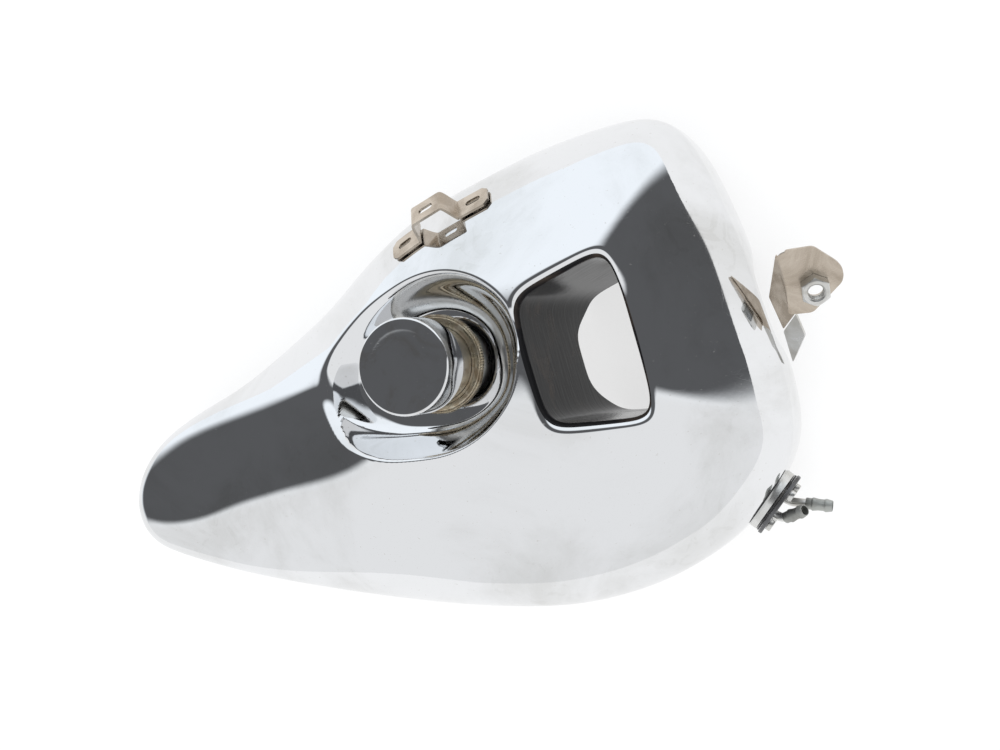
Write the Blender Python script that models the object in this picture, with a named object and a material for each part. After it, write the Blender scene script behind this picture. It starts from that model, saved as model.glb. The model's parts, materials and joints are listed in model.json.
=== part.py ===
"""Motorcycle fuel tank: one-piece chromed saddle tank with screw cap, brackets and fuel outlet."""
import math

import bmesh
import bpy
import numpy as np
from mathutils import Matrix, Vector

MM = 0.001

# ---- driving sizes, millimetres; x forward from the tail, y to the rider's left, z up -----------------
ORIGIN = Vector((276.93, -9.86, 0.0))     # plan point that becomes the part's origin
WALL = 1.6                              # sheet thickness of the tank
GAP = 0.3                               # clearance left between neighbouring pieces
RAYS = 56                               # grid lines around the tank
SEAM_Z = 75.0                           # height of the widest contour
TUCK = 0.11                             # how far the flanks draw in below the widest contour

# widest contour, walked from the tail tip down the right flank and back up the left
OUTLINE = [(-28, -10), (-24, -34), (-6, -51), (60, -86), (140, -119), (222, -148), (290, -167), (342, -175),
           (400, -172), (456, -155), (492, -130), (513, -105), (520, -80), (522, -45), (521, -5), (519, 40),
           (514, 84), (509, 112), (501, 135), (485, 150), (450, 155), (398, 155), (345, 149), (312, 144),
           (278, 135), (232, 114), (196, 94), (145, 74), (100, 59), (56, 50), (16, 38), (-14, 17)]

HOLE_CENTRE = (409.0, 2.0)
HOLE_HALF_LENGTH = 37.0
HOLE_HALF_WIDTH_REAR = 45.0
HOLE_HALF_WIDTH_FRONT = 59.0
HOLE_SQUARENESS = 6.0
RIM_RADIUS = 8.0                        # rolled edge between the top skin and the sleeve

DOME_POWER = 2.0
FRONT_POWER = 1.5                       # fuller at the sides, straighter ahead of the hole
TAIL_RISE = 50.0                        # crown above the seam at the tail
FRONT_RISE = 90.0                       # crown above the seam over the lobes
VALLEY_SLOPE_NEAR = 0.17                # right wall of the valley
VALLEY_SLOPE_FAR = 0.22                 # left wall of the valley
CREST_BLEND = 6.0                       # rounding of the crest beside the valley and dish
FOLD_BLEND = 18.0                       # rounding of the far folds
DISH_STRETCH = 1.15                     # the dish is longer than it is wide
DISH_STRETCH_TAIL = 1.6                 # the dish runs out longer towards the tail
DISH_CENTRE = (285.0, 25.0)
DISH_FLOOR_Z = 112.0
DISH_FLAT = 37.0
DISH_FLAT_NEAR = 45.0                   # wider and steeper on the near side
DISH_WALL = 0.055                       # how quickly the dish wall curls up, per millimetre
DISH_WALL_NEAR = 0.10
TUNNEL_RISE = 44.0
TUNNEL_HALF_WIDTH = 34.0
TUNNEL_SWAY = 22.0                      # how far the arch follows the tail to the right

NECK_INNER = 25.0
NECK_OUTER = 28.5
NECK_TOP = 150.0
FLANGE_RADIUS = 35.5
THREAD_PITCH = 5.0
THREAD_DEPTH = 1.2
CAP_RADIUS = 35.0
CAP_HEIGHT = 27.0
CAP_TOP_Z = 172.0

BUNG_RADIUS = 24.0
BUNG_BORE = 13.0
BUNG_DEPTH = 9.0

# Brackets and fittings.
HAT_CENTRE = (322.0, 121.0)             # middle of the hat strap on the left shoulder
HAT_ALONG = (0.98, 0.17)
HAT_WIDTH = 19.0
HAT_CROWN = 17.0                        # height of the raised middle
HAT_FOOT_LIFT = 1.3                     # clearance of the feet over the skin
TAB_BEND = (542.0, 6.5, 83.5)           # middle of the front tab's bend
TAB_NORMAL = (0.141, -0.484, 0.844)
TAB_FORWARD = (0.96, -0.14, -0.24)
TAB_OUTLINE = [(0, -24), (17, -25), (39, -5), (40.5, 0), (40, 6), (37, 11), (22, 25), (2, 25)]
NUT_SPOT = (20.0, -6.0)
NUT_FLATS = 19.0
NUT_HOLE = 5.8
NUT_HEIGHT = 9.0
ARM_OUTLINE = [(543, 27, 92), (541, -14, 69.5), (527, -22, 58), (526, 2, 70)]
FOOT_OUTLINE = [(540.5, -15, 68.5), (541, -31, 61), (524.5, -46, 44), (526.5, -23.5, 57)]
OUTLET_ANGLE = math.radians(-62.0)      # where the fuel outlet sits round the near lobe
OUTLET_ROW = 0.76                       # share of the way from the hole to the bottom rim
LUG_X = 52.0                            # rear mounting lug under the tail
LUG_HALF_WIDTH = 11.0
LUG_HOLE = 6.0
TUBE_R = 3.2
TUBE_BORE = 2.2
SHEET = 2.0                             # thickness of the bracket strips


# ---- scene and materials ------------------------------------------------------------------------------
def clear_scene():
    for obj in list(bpy.data.objects):
        bpy.data.objects.remove(obj, do_unlink=True)


def material(name, colour, roughness, metallic):
    mat = bpy.data.materials.new(name)
    mat.use_nodes = True
    shader = mat.node_tree.nodes["Principled BSDF"]
    shader.inputs["Base Color"].default_value = (*colour, 1.0)
    shader.inputs["Roughness"].default_value = roughness
    shader.inputs["Metallic"].default_value = metallic
    return mat


# ---- mesh builders ------------------------------------------------------------------------------------
def make_object(name, verts, faces, mat, smooth=True, pivot=None):
    """Store a closed mesh given in tank millimetres; pivot is the object's origin in the same frame."""
    pivot = Vector(pivot) if pivot is not None else ORIGIN
    mesh = bpy.data.meshes.new(name)
    mesh.from_pydata([(Vector(v) - pivot) * MM for v in verts], [], faces)
    body = bmesh.new()
    body.from_mesh(mesh)
    bmesh.ops.remove_doubles(body, verts=body.verts, dist=1e-7)
    bmesh.ops.recalc_face_normals(body, faces=body.faces)
    body.to_mesh(mesh)
    body.free()
    for poly in mesh.polygons:
        poly.use_smooth = smooth
    obj = bpy.data.objects.new(name, mesh)
    obj.location = (pivot - ORIGIN) * MM
    mesh.materials.append(mat)
    bpy.context.scene.collection.objects.link(obj)
    return obj


def skin(rings, wrap):
    """Faces over a stack of equal closed rings; wrap joins the last ring to the first."""
    count = len(rings[0])
    verts = [tuple(p) for ring in rings for p in ring]
    faces = []
    spans = len(rings) if wrap else len(rings) - 1
    for i in range(spans):
        k = (i + 1) % len(rings)
        for j in range(count):
            n = (j + 1) % count
            faces.append((i * count + j, i * count + n, k * count + n, k * count + j))
    if not wrap:
        faces.append(tuple(range(count)))
        faces.append(tuple(range((len(rings) - 1) * count, len(rings) * count)))
    return verts, faces


def double_sheet(low, high):
    """Closed sheet between two matching stacks of rings, both faces split along the same diagonals."""
    count = len(low[0])
    size = len(low) * count
    verts = [tuple(p) for ring in list(low) + list(high) for p in ring]
    faces = []
    for i in range(len(low) - 1):
        for j in range(count):
            n = (j + 1) % count
            a, b, c, d = i * count + j, i * count + n, (i + 1) * count + n, (i + 1) * count + j
            faces += [(a, b, c), (a, c, d), (size + a, size + c, size + b), (size + a, size + d, size + c)]
    for start in (0, size - count):
        for j in range(count):
            n = start + (j + 1) % count
            faces.append((start + j, n, size + n, size + start + j))
    return verts, faces


def place(points, frame):
    return [tuple(frame @ Vector(p)) for p in points]


def axis_frame(origin, normal, along=(1.0, 0.0, 0.0)):
    """Local frame at origin: z along the normal, x as near to `along` as it can be."""
    z = Vector(normal).normalized()
    x = Vector(along)
    x = (x - z * x.dot(z)).normalized()
    y = z.cross(x)
    frame = Matrix((x, y, z)).transposed().to_4x4()
    frame.translation = Vector(origin)
    return frame


def upright(x, y, z=0.0):
    return Matrix.Translation(Vector((x, y, z)))


def lathe(name, profile, frame, mat, segments=40, solid=False, pivot=None, smooth=True):
    """Turn a profile of (radius, height) pairs; a solid one starts and ends near the axis."""
    rings = []
    for radius, height in profile:
        ring = []
        for j in range(segments):
            a = 2 * math.pi * j / segments
            ring.append((radius * math.cos(a), radius * math.sin(a), height))
        rings.append(place(ring, frame))
    verts, faces = skin(rings, wrap=not solid)
    return make_object(name, verts, faces, mat, smooth, pivot)


def tube_rings(path, radius, segments=10):
    """Closed rings of one radius square to a path."""
    pts = [Vector(p) for p in path]
    side = None
    rings = []
    for i, point in enumerate(pts):
        ahead = pts[min(i + 1, len(pts) - 1)] - pts[max(i - 1, 0)]
        ahead.normalize()
        if side is None:
            side = ahead.orthogonal().normalized()
        side = (side - ahead * side.dot(ahead)).normalized()
        other = ahead.cross(side)
        ring = []
        for j in range(segments):
            a = 2 * math.pi * j / segments
            ring.append(tuple(point + side * (radius * math.cos(a)) + other * (radius * math.sin(a))))
        rings.append(ring)
    return rings


def pipe(name, path, outer, inner, mat, segments=10):
    rings = tube_rings(path, outer, segments) + tube_rings(path, inner, segments)[::-1]
    verts, faces = skin(rings, wrap=True)
    return make_object(name, verts, faces, mat)


def prism(outline, low, high):
    """Extrude a flat outline of (x, y) points between two heights."""
    rings = [[(x, y, low) for x, y in outline], [(x, y, high) for x, y in outline]]
    return skin(rings, wrap=False)


def cut(target, cutter_verts, cutter_faces, name):
    """Subtract a closed cutter; it stays in the scene as a hidden wire object."""
    cutter = make_object("cut_" + name, cutter_verts, cutter_faces, target.data.materials[0], smooth=False)
    cutter.hide_render = True
    cutter.display_type = "WIRE"
    modifier = target.modifiers.new("cut_" + name, "BOOLEAN")
    modifier.operation = "DIFFERENCE"
    modifier.solver = "EXACT"
    modifier.object = cutter
    return cutter


def drill(target, name, frame, radius, low, high, segments=32):
    rings = [place(circle(radius, height, segments), frame) for height in (low, high)]
    verts, faces = skin(rings, wrap=False)
    return cut(target, verts, faces, name)


def slot_outline(half_length, radius, steps=8):
    points = []
    for end, start in ((1, -90.0), (-1, 90.0)):
        for i in range(steps + 1):
            a = math.radians(start + 180.0 * i / steps)
            points.append((end * half_length + radius * math.cos(a), radius * math.sin(a)))
    return points


# ---- the tank's plan and height -----------------------------------------------------------------------
def smooth_loop(points, steps=12):
    """Closed curve through the points."""
    pts = np.array(points, float)
    count = len(pts)
    out = []
    for i in range(count):
        p0, p1, p2, p3 = (pts[(i + k) % count] for k in (-1, 0, 1, 2))
        for s in range(steps):
            t = s / steps
            out.append(0.5 * (2 * p1 + (p2 - p0) * t + (2 * p0 - 5 * p1 + 4 * p2 - p3) * t * t
                              + (3 * p1 - p0 - 3 * p2 + p3) * t ** 3))
    return np.array(out)


def even_loop(loop, count):
    """Resample a closed curve at equal steps of length."""
    closed = np.vstack([loop, loop[:1]])
    run = np.concatenate([[0.0], np.cumsum(np.linalg.norm(np.diff(closed, axis=0), axis=1))])
    want = np.linspace(0.0, run[-1], count, endpoint=False)
    return np.stack([np.interp(want, run, closed[:, k]) for k in (0, 1)], axis=1)


CONTOUR = smooth_loop(OUTLINE)
CENTRE = np.array(HOLE_CENTRE)


def outer_radius(angle):
    """Distance from the hole's centre to the widest contour."""
    rel = CONTOUR - CENTRE
    angles = np.arctan2(rel[:, 1], rel[:, 0])
    order = np.argsort(angles)
    return np.interp(angle, angles[order], np.hypot(rel[:, 0], rel[:, 1])[order], period=2 * math.pi)


def hole_radius(angle):
    """Distance from the hole's centre to its rounded four-sided edge."""
    c = np.cos(angle)
    s = np.sin(angle)
    reach = np.full_like(c, 200.0)
    for _ in range(6):
        x = reach * c
        share = np.clip(x / HOLE_HALF_LENGTH * 0.5 + 0.5, 0.0, 1.0)
        half_width = HOLE_HALF_WIDTH_REAR + (HOLE_HALF_WIDTH_FRONT - HOLE_HALF_WIDTH_REAR) * share
        reach = (np.abs(c / HOLE_HALF_LENGTH) ** HOLE_SQUARENESS
                 + np.abs(s / half_width) ** HOLE_SQUARENESS) ** (-1 / HOLE_SQUARENESS)
    return reach


def ease(t):
    t = np.clip(t, 0.0, 1.0)
    return t * t * (3 - 2 * t)


def soft_min(a, b, width):
    h = np.clip(0.5 + 0.5 * (b - a) / width, 0.0, 1.0)
    return b + (a - b) * h - width * h * (1 - h)


def top_height(x, y):
    """Height of the top skin: a dome, less the valley from the tail, less the dish round the filler."""
    dx = x - CENTRE[0]
    dy = y - CENTRE[1]
    share = np.clip(np.hypot(dx, dy) / outer_radius(np.arctan2(dy, dx)), 0.0, 1.0)
    rise = TAIL_RISE + (FRONT_RISE - TAIL_RISE) * ease((x - 60.0) / 210.0)
    ahead = dx / np.maximum(np.hypot(dx, dy), 1.0)
    power = DOME_POWER + (FRONT_POWER - DOME_POWER) * ease((ahead - 0.15) / 0.8)
    dome = SEAM_Z + rise * (1 - share ** power) ** (1 / power)
    run = np.clip(x / 215.0, -0.2, 1.25)
    valley_y = 1.0 + 13.0 * run + 17.0 * run ** 2
    valley_floor = 91.0 + 27.0 * run + 21.0 * run ** 2
    across = y - valley_y
    slope = np.where(across < 0, VALLEY_SLOPE_NEAR, VALLEY_SLOPE_FAR)
    valley = valley_floor + slope * (np.sqrt(across ** 2 + 16.0) - 4.0)
    behind = x - DISH_CENTRE[0] - 6.0
    stretch = DISH_STRETCH + (DISH_STRETCH_TAIL - DISH_STRETCH) * ease(-behind / 50.0)
    far_from = np.hypot(behind / stretch, y - DISH_CENTRE[1])
    near_side = ease((DISH_CENTRE[1] - y) / 45.0)
    flat = DISH_FLAT + (DISH_FLAT_NEAR - DISH_FLAT) * near_side
    wall = DISH_WALL + (DISH_WALL_NEAR - DISH_WALL) * near_side
    dish = DISH_FLOOR_Z + wall * np.clip(far_from - flat, 0.0, None) ** 2
    valley = valley + 200.0 * ease((x - 235.0) / 60.0)
    valley_blend = CREST_BLEND + (FOLD_BLEND - CREST_BLEND) * ease((across + 8.0) / 40.0)
    dish_blend = CREST_BLEND + (FOLD_BLEND - CREST_BLEND) * ease((y - DISH_CENTRE[1] + 25.0) / 45.0)
    return soft_min(soft_min(dome, valley, valley_blend), dish, dish_blend)


def tunnel_y(x):
    return -TUNNEL_SWAY * (1.0 - ease(x / 300.0))


def floor_height(x, y):
    """Height of the underside, which arches over the frame tube."""
    along = ease(x / 300.0)
    half_width = TUNNEL_HALF_WIDTH * (0.72 + 0.28 * along)
    return TUNNEL_RISE * np.exp(-(np.abs(y - tunnel_y(x)) / half_width) ** 4)


def ray_angles(count):
    rel = even_loop(CONTOUR, count) - CENTRE
    return np.arctan2(rel[:, 1], rel[:, 0])


def shell_grid(count, roll_steps, top_steps, side_steps):
    """Outer face of the tank from the hole's edge, over the lobes and down to the bottom rim."""
    angle = ray_angles(count)
    c = np.cos(angle)
    s = np.sin(angle)
    inner = hole_radius(angle)
    outer = outer_radius(angle)
    rows = []
    for i in range(roll_steps + 1):
        a = 0.5 * math.pi * i / roll_steps
        reach = inner + RIM_RADIUS * (1 - math.cos(a))
        x = CENTRE[0] + reach * c
        y = CENTRE[1] + reach * s
        rows.append(np.stack([x, y, top_height(x, y) - RIM_RADIUS * (1 - math.sin(a))], axis=1))
    start = inner + RIM_RADIUS
    stretch = ease((outer - start - 110.0) / 200.0)
    for i in range(1, top_steps + 1):
        even = 0.45 * i / top_steps + 0.55 * math.sin(0.5 * math.pi * i / top_steps)
        share = even + (0.75 * (i / top_steps) ** 1.7 + 0.25 * even - even) * stretch
        reach = start + (outer - start) * share
        x = CENTRE[0] + reach * c
        y = CENTRE[1] + reach * s
        rows.append(np.stack([x, y, top_height(x, y)], axis=1))
    for i in range(1, side_steps + 1):
        a = 0.5 * math.pi * i / side_steps
        reach = outer * (1 - TUCK * (1 - math.cos(a)))
        x = CENTRE[0] + reach * c
        y = CENTRE[1] + reach * s
        low = floor_height(x, y)
        rows.append(np.stack([x, y, low + (SEAM_Z - low) * (1 - math.sin(a))], axis=1))
    return np.array(rows)


def grid_normals(grid):
    """Outward unit normals of a grid closed around the rays."""
    around = np.roll(grid, -1, axis=1) - np.roll(grid, 1, axis=1)
    along = np.gradient(grid, axis=0)
    normal = np.cross(along, around)
    return normal / np.linalg.norm(normal, axis=2, keepdims=True)


def surface_frame(angle, row_share, along, rows=None):
    """Frame on the outer face at a ray angle and a share of the way from the hole to the rim."""
    grid = shell_grid(256, 6, 60, 30) if rows is None else rows
    normal = grid_normals(grid)
    angles = ray_angles(256)
    j = int(np.argmin(np.abs(np.angle(np.exp(1j * (angles - angle))))))
    i = int(round(row_share * (len(grid) - 1)))
    out = normal[i, j]
    if np.dot(out, [math.cos(angle), math.sin(angle), 0.4]) < 0:
        out = -out
    return axis_frame(grid[i, j], out, along)


# ---- tank body ----------------------------------------------------------------------------------------
def tank_shell(mat):
    outer = shell_grid(RAYS, 2, 17, 5)
    normal = grid_normals(outer)
    if normal[10, 0, 2] < 0:
        normal = -normal
    inner = outer - WALL * normal
    inner[0, :, 2] = outer[0, :, 2]
    inner[-1, :, 2] = outer[-1, :, 2]
    rings = list(outer) + list(inner[::-1])
    verts, faces = skin(rings, wrap=True)
    return make_object("tank_shell", verts, faces, mat)


def hole_sleeve(mat):
    """Four-sided well that joins the top skin to the underside around the through-hole."""
    angle = ray_angles(RAYS)
    edge = hole_radius(angle)
    x = CENTRE[0] + edge * np.cos(angle)
    y = CENTRE[1] + edge * np.sin(angle)
    top = top_height(x, y) - RIM_RADIUS - GAP
    low = floor_height(x, y)
    rings = []
    for reach_out, height in ((0.0, low), (0.0, top), (WALL, top), (WALL, low)):
        reach = edge + reach_out
        x = CENTRE[0] + reach * np.cos(angle)
        y = CENTRE[1] + reach * np.sin(angle)
        rings.append(np.stack([x, y, height], axis=1))
    verts, faces = skin(rings, wrap=True)
    return make_object("hole_sleeve", verts, faces, mat)


def bottom_pan(mat):
    """Underside sheet with the arch over the frame tube, set inside the shell's bottom rim."""
    angle = ray_angles(RAYS)
    ray = np.stack([np.cos(angle), np.sin(angle)], axis=1)
    rim = CENTRE + ray * (outer_radius(angle) * (1 - TUCK))[:, None]
    along = np.roll(rim, -1, axis=0) - np.roll(rim, 1, axis=0)
    out = np.stack([along[:, 1], -along[:, 0]], axis=1) / np.linalg.norm(along, axis=1)[:, None]
    rim = rim - out * (WALL + 3 * GAP)
    start = CENTRE + ray * (hole_radius(angle) + WALL + GAP)[:, None]
    steps = 8
    lower = []
    for i in range(steps + 1):
        spot = start + (rim - start) * i / steps
        lower.append(np.column_stack([spot, floor_height(spot[:, 0], spot[:, 1])]))
    upper = [ring + np.array([0.0, 0.0, WALL]) for ring in lower]
    verts, faces = double_sheet(lower, upper)
    return make_object("bottom_pan", verts, faces, mat)


# ---- filler -------------------------------------------------------------------------------------------
def threaded_wall(radius, depth, low, high, shift=0.0, rows_per_turn=5, segments=32):
    """Rings of a helical thread that fades out at both ends; depth is signed outward."""
    rows = int(round((high - low) / THREAD_PITCH * rows_per_turn))
    rings = []
    for i in range(rows + 1):
        z = low + (high - low) * i / rows
        fade = min(1.0, (z - low) / 2.0, (high - z) / 2.0)
        ring = []
        for j in range(segments):
            a = 2 * math.pi * j / segments
            phase = (z / THREAD_PITCH - a / (2 * math.pi) + shift) % 1.0
            wave = 0.5 - 0.5 * math.cos(2 * math.pi * phase)
            r = radius + depth * max(fade, 0.0) * wave
            ring.append((r * math.cos(a), r * math.sin(a), z))
        rings.append(ring)
    return rings


def circle(radius, z, segments=32):
    turns = [2 * math.pi * j / segments for j in range(segments)]
    return [(radius * math.cos(a), radius * math.sin(a), z) for a in turns]


def filler_parts(mats):
    x, y = DISH_CENTRE
    frame = upright(x, y)
    base = DISH_FLOOR_Z
    inside = NECK_OUTER + GAP
    lathe("filler_flange", [(inside, base - 3.0), (FLANGE_RADIUS, base - 3.0), (FLANGE_RADIUS, base + 2.0),
                            (FLANGE_RADIUS - 1.5, base + 3.2), (inside, base + 3.2)], frame, mats["weld"])
    low = base - 22.0
    thread = threaded_wall(NECK_INNER, -THREAD_DEPTH, NECK_TOP - 19.0, NECK_TOP - 3.0)
    rings = [circle(NECK_INNER, low), circle(NECK_OUTER, low), circle(NECK_OUTER, NECK_TOP),
             circle(NECK_INNER + 1.0, NECK_TOP)] + thread[::-1]
    verts, faces = skin([place(ring, frame) for ring in rings], wrap=True)
    make_object("filler_neck", verts, faces, mats["steel"])


def cap_parts(mats):
    x, y = DISH_CENTRE
    frame = upright(x, y)
    pivot = (x, y, NECK_TOP)
    top = CAP_TOP_Z
    low = top - CAP_HEIGHT
    skirt = CAP_RADIUS - 1.8
    lathe("cap_shell", [(0.4, top), (CAP_RADIUS - 1.4, top), (CAP_RADIUS, top - 1.4), (CAP_RADIUS, low),
                        (skirt, low), (skirt, top - 1.8), (0.4, top - 1.8)],
          frame, mats["chrome"], segments=56, solid=True, pivot=pivot)
    plug_top = top - 2.1 - 1.2
    lip = NECK_TOP + 2.6
    thread = threaded_wall(NECK_INNER - 2 * THREAD_DEPTH - 0.6 + THREAD_DEPTH, THREAD_DEPTH,
                           NECK_TOP - 17.0, NECK_TOP - 5.0, shift=0.5)
    shank = NECK_INNER - THREAD_DEPTH - 0.6
    rings = [circle(9.0, NECK_TOP - 18.0), circle(shank - 1.0, NECK_TOP - 18.0)] + thread
    rings += [circle(shank, lip), circle(skirt - GAP, lip)]
    rings += [circle(skirt - GAP, plug_top), circle(9.0, plug_top)]
    verts, faces = skin([place(ring, frame) for ring in rings], wrap=True)
    make_object("cap_insert", verts, faces, mats["dark_metal"], pivot=pivot)
    lathe("cap_gasket", [(shank + 0.6, NECK_TOP + GAP), (NECK_OUTER + 1.5, NECK_TOP + GAP),
                         (NECK_OUTER + 1.5, lip - GAP), (shank + 0.6, lip - GAP)], frame, mats["rubber"],
          pivot=pivot)
    seat = NECK_TOP - 12.0
    plunger = [(0.4, seat - 6.0), (3.0, seat - 6.0), (3.0, seat), (6.5, seat), (6.5, seat + 2.0),
               (1.8, seat + 2.0), (1.8, seat + 12.0), (0.4, seat + 12.0)]
    lathe("vent_plunger", plunger, frame, mats["brass"], segments=20, solid=True, pivot=(x, y, seat))
    lathe("vent_seat", [(4.0, seat - 3.2), (8.7, seat - 3.2), (8.7, seat - GAP), (4.0, seat - GAP)], frame,
          mats["brass"], segments=24, pivot=pivot)
    turns = 4
    coil = []
    steps = turns * 9
    for i in range(steps + 1):
        a = 2 * math.pi * turns * i / steps
        coil.append((x + 4.2 * math.cos(a), y + 4.2 * math.sin(a), seat + 2.8 + 12.0 * i / steps))
    verts, faces = skin(tube_rings(coil, 0.5, 5), wrap=False)
    make_object("vent_spring", verts, faces, mats["steel"], pivot=(x, y, seat))
    hold = seat + 15.6
    lathe("vent_retainer", [(2.3, hold), (8.7, hold), (8.7, hold + 1.6), (2.3, hold + 1.6)], frame,
          mats["brass"], segments=24, pivot=pivot)


# ---- brackets -----------------------------------------------------------------------------------------
def strip(name, path, thickness, mat):
    """Bent sheet strip: path holds (left edge, right edge, normal) stations along the strip."""
    rings = []
    for left, right, normal in path:
        left = Vector(left)
        right = Vector(right)
        normal = Vector(normal)
        lift = normal * thickness
        rings.append([tuple(left), tuple(right), tuple(right + lift), tuple(left + lift)])
    verts, faces = skin(rings, wrap=False)
    return make_object(name, verts, faces, mat, smooth=False)


def top_normal(x, y, step=2.0):
    zx = (float(top_height(x + step, y)) - float(top_height(x - step, y))) / (2 * step)
    zy = (float(top_height(x, y + step)) - float(top_height(x, y - step))) / (2 * step)
    return Vector((-zx, -zy, 1.0)).normalized()


def on_top(x, y, lift):
    x = np.float64(x)
    y = np.float64(y)
    return Vector((x, y, float(top_height(x, y)))) + top_normal(x, y) * lift


def hat_bracket(mats):
    """Hat-section strap on the left shoulder: two slotted feet and a raised slotted crown."""
    ax, ay = HAT_ALONG
    stations = [(-43, 0), (-30, 0), (-18, 0), (-16, 0), (-12, HAT_CROWN), (-10, HAT_CROWN), (10, HAT_CROWN),
                (12, HAT_CROWN), (16, 0), (18, 0), (30, 0), (43, 0)]
    path = []
    normal = top_normal(*HAT_CENTRE)
    centre = on_top(*HAT_CENTRE, 0.0)
    along = Vector((ax, ay, 0.0))
    along = (along - normal * along.dot(normal)).normalized()
    across = normal.cross(along)
    for run, lift in stations:
        edges = []
        for side in (0.5, -0.5):
            point = centre + along * run + across * (side * HAT_WIDTH)
            drop = 0.0
            for _ in range(4):
                surface = float(top_height(np.float64(point.x), np.float64(point.y)))
                drop = (point.z - surface) * normal.z
                if lift == 0:
                    point = point - normal * (drop - HAT_FOOT_LIFT)
            if lift:
                point = centre + along * run + across * (side * HAT_WIDTH) + normal * (lift - 1.0)
            edges.append(point)
        path.append((edges[0], edges[1], normal))
    obj = strip("hat_bracket", path, SHEET, mats["bracket"])
    frame = Matrix((along, across, normal)).transposed().to_4x4()
    for k, run in enumerate((-31.0, 0.0, 31.0)):
        frame.translation = centre + along * run
        verts, faces = prism(slot_outline(3.5, 2.6), -14.0, 30.0)
        cut(obj, place(verts, frame), faces, "hat_slot_%d" % k)
    return obj


def tab_frame():
    return axis_frame(TAB_BEND, TAB_NORMAL, TAB_FORWARD)


def slab(name, outline, thickness, mat):
    """Flat plate between an outline of space points and its copy square to it."""
    pts = [Vector(p) for p in outline]
    normal = (pts[1] - pts[0]).cross(pts[-1] - pts[0]).normalized()
    flat = [p - normal * (p - pts[0]).dot(normal) for p in pts]
    rings = [[tuple(p) for p in flat], [tuple(p + normal * thickness) for p in flat]]
    verts, faces = skin(rings, wrap=False)
    return make_object(name, verts, faces, mat, smooth=False)


def hexagon_ring(radius_scale, height):
    ring = []
    for j in range(24):
        a = 2 * math.pi * j / 24
        corner = (a + math.pi / 6) % (math.pi / 3) - math.pi / 6
        r = radius_scale * NUT_FLATS / 2 / math.cos(corner)
        ring.append((r * math.cos(a), r * math.sin(a), height))
    return ring


def front_bracket(mats):
    """Bent bracket ahead of the tank: a short arm off the front face and a tab with clipped corners."""
    verts, faces = prism(TAB_OUTLINE, -SHEET, 0.0)
    frame = tab_frame()
    tab = make_object("front_tab", place(verts, frame), faces, mats["bracket"], smooth=False)
    spot = frame @ Matrix.Translation((*NUT_SPOT, 0.0))
    drill(tab, "tab_hole", spot, NUT_HOLE + 0.6, -6.0, 6.0)
    slab("front_riser", ARM_OUTLINE, SHEET, mats["bracket"])
    slab("front_doubler", FOOT_OUTLINE, SHEET, mats["steel"])
    rings = [hexagon_ring(1.0, 0.0), hexagon_ring(1.0, NUT_HEIGHT - 1.0), hexagon_ring(0.92, NUT_HEIGHT),
             circle(NUT_HOLE, NUT_HEIGHT, 24), circle(NUT_HOLE, 0.0, 24)]
    seat = spot @ Matrix.Translation((0.0, 0.0, GAP))
    verts, faces = skin([place(ring, seat) for ring in rings], wrap=True)
    make_object("weld_nut", verts, faces, mats["steel"], smooth=False)


# ---- fuel outlet --------------------------------------------------------------------------------------
def outlet_frame():
    return surface_frame(OUTLET_ANGLE, OUTLET_ROW, (0.9, 0.3, 0.0))


def barb(name, frame, mat):
    """Hose tail with two saw-tooth ridges, slipped over the end of a tube."""
    bore = TUBE_R + GAP
    profile = [(bore, 0.0), (4.2, 0.0), (4.2, 4.0), (4.9, 5.0), (4.2, 9.0), (4.2, 13.0), (4.9, 14.5),
               (4.0, 19.0), (bore, 19.0)]
    return lathe(name, profile, frame, mat, segments=20)


def bend_path(start, first, second, lead, radius, tail, steps=5):
    """Straight, arc, straight; first and second are the directions before and after the bend."""
    first = Vector(first).normalized()
    second = Vector(second).normalized()
    angle = first.angle(second)
    setback = radius * math.tan(angle / 2)
    corner = Vector(start) + first * (lead + setback)
    begin = corner - first * setback
    side = (second - first * second.dot(first)).normalized()
    middle = begin + side * radius
    points = [Vector(start), begin]
    for i in range(1, steps + 1):
        a = angle * i / steps
        points.append(middle - side * (radius * math.cos(a)) + first * (radius * math.sin(a)))
    points.append(points[-1] + second * tail)
    return points


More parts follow.
